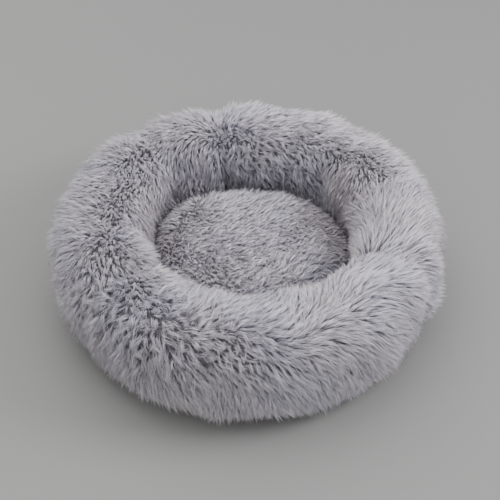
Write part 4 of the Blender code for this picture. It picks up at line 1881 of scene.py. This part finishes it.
# ---- studio --------------------------------------------------------------------------------------
@dataclass(frozen=True)
class Studio:
    """Floor, light and camera."""

    elevation: float = 43.2
    distance: float = 2.0
    lens: float = 95.8
    aim: Point = (0.0022, 0.0, 0.0850)

    def build(self) -> None:
        """Set the bed on a pale floor under soft light, and point the camera."""
        self._floor()
        self._light("key", (1.70, -0.15, 1.25), 0.9, 27.0)
        self._light("overhead", (-0.5, 0.7, 2.30), 2.2, 26.0)
        self._world()
        self._camera()

    def _floor(self) -> None:
        """A floor that runs out of view, with painted light falloff across it."""
        size = 6.0
        floor = new_object("floor", [(-size, -size, 0.0), (size, -size, 0.0), (size, size, 0.0),
                                     (-size, size, 0.0)], [(0, 1, 2, 3)], smooth=False)
        graph = ShaderGraph("floor_paper")
        grain = graph.noise(700.0, 2.0)
        x, y, _ = graph.place.parts()
        # The ramp, lighter towards -x and -y and evening out further away, with broad cloudy patches, is painted
        # light falloff, not the paper's colour.
        across = 0.5 - (x * 0.55 + y * 0.25) / (1.0 + x * x + y * y) + (graph.noise(1.5, 1.0) - 0.5) * 0.15
        shade = graph.ramp(across, [(0.1, (0.243, 0.242, 0.247)), (0.9, (0.365, 0.362, 0.352))])
        floor.data.materials.append(graph.finish(shade, 0.9, grain, 0.0001))

    @staticmethod
    def _light(name: str, place: Point, size: float, power: float) -> None:
        """A soft square lamp that faces the bed.

        Args:
            name: the lamp's name.
            place: where it stands.
            size: the length of its side.
            power: its power in watts.
        """
        lamp = bpy.data.lights.new(name, "AREA")
        lamp.shape = "SQUARE"
        lamp.size = size
        lamp.energy = power
        thing = bpy.data.objects.new(name, lamp)
        thing.location = place
        thing.rotation_euler = (Vector((0.0, 0.0, 0.1)) - Vector(place)).to_track_quat("-Z", "Y").to_euler()
        bpy.context.scene.collection.objects.link(thing)

    @staticmethod
    def _world() -> None:
        """An even pale surround."""
        world = bpy.data.worlds.new("surround")
        world.use_nodes = True
        world.node_tree.nodes["Background"].inputs["Color"].default_value = (1.0, 1.0, 1.0, 1.0)
        world.node_tree.nodes["Background"].inputs["Strength"].default_value = 0.87
        bpy.context.scene.world = world

    def _camera(self) -> None:
        """The camera, in front of the bed and above it."""
        tilt = math.radians(self.elevation)
        back = Vector((0.0, -math.cos(tilt), math.sin(tilt)))
        lens = bpy.data.cameras.new("camera")
        lens.lens = self.lens
        lens.sensor_width = 36.0
        lens.clip_start = 0.05
        camera = bpy.data.objects.new("camera", lens)
        camera.location = Vector(self.aim) + back * self.distance
        camera.rotation_euler = (-back).to_track_quat("-Z", "Y").to_euler()
        bpy.context.scene.collection.objects.link(camera)
        bpy.context.scene.camera = camera


FINISHES = (
    FurFinish("fur"),
    FurFinish("cushion_fur"),
    BackingFinish("backing"),
    WovenFinish("liner_cloth", (0.74, 0.74, 0.72), (0.52, 0.52, 0.51), 0.0007),
    FibreFinish("fibre_filling"),
    WovenFinish("base_cloth", (0.085, 0.085, 0.100), (0.030, 0.030, 0.036), 0.0012, 0.72, 0.05),
    WovenFinish("lining_cloth", (0.300, 0.292, 0.340), (0.160, 0.155, 0.185), 0.0008),
    RibbedTapeFinish("binding_tape", (0.235, 0.232, 0.270), (0.120, 0.118, 0.140), radial=True),
    RibbedTapeFinish("zip_tape", (0.220, 0.218, 0.250), (0.110, 0.108, 0.128), 0.0007),
    MouldedFinish("zip_coil", (0.230, 0.230, 0.262), (0.330, 0.330, 0.360), 0.38),
    MouldedFinish("zip_metal", (0.330, 0.330, 0.345), (0.520, 0.515, 0.510), 0.30, 0.90),
    MouldedFinish("rubber", (0.050, 0.050, 0.058), (0.085, 0.085, 0.095), 0.62),
    SatinFinish("label_satin"),
)


def main() -> None:
    """Build the bed piece by piece, dress it, and light it."""
    logging.basicConfig(level=logging.INFO, format="%(name)s: %(message)s")
    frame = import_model()
    finishes = {finish.name: finish.material() for finish in FINISHES}
    sewing = Sewing(finishes["binding_tape"], finishes["zip_coil"])
    Rim(frame).build(FurCoat(finishes["fur"]), finishes)
    Cushion(frame).build(FurCoat(finishes["cushion_fur"]), finishes)
    Base(frame, sewing).build(finishes)
    Zip(frame, sewing).build(finishes)
    CareLabel().build(finishes["label_satin"])
    Studio().build()


if __name__ == "__main__":
    main()
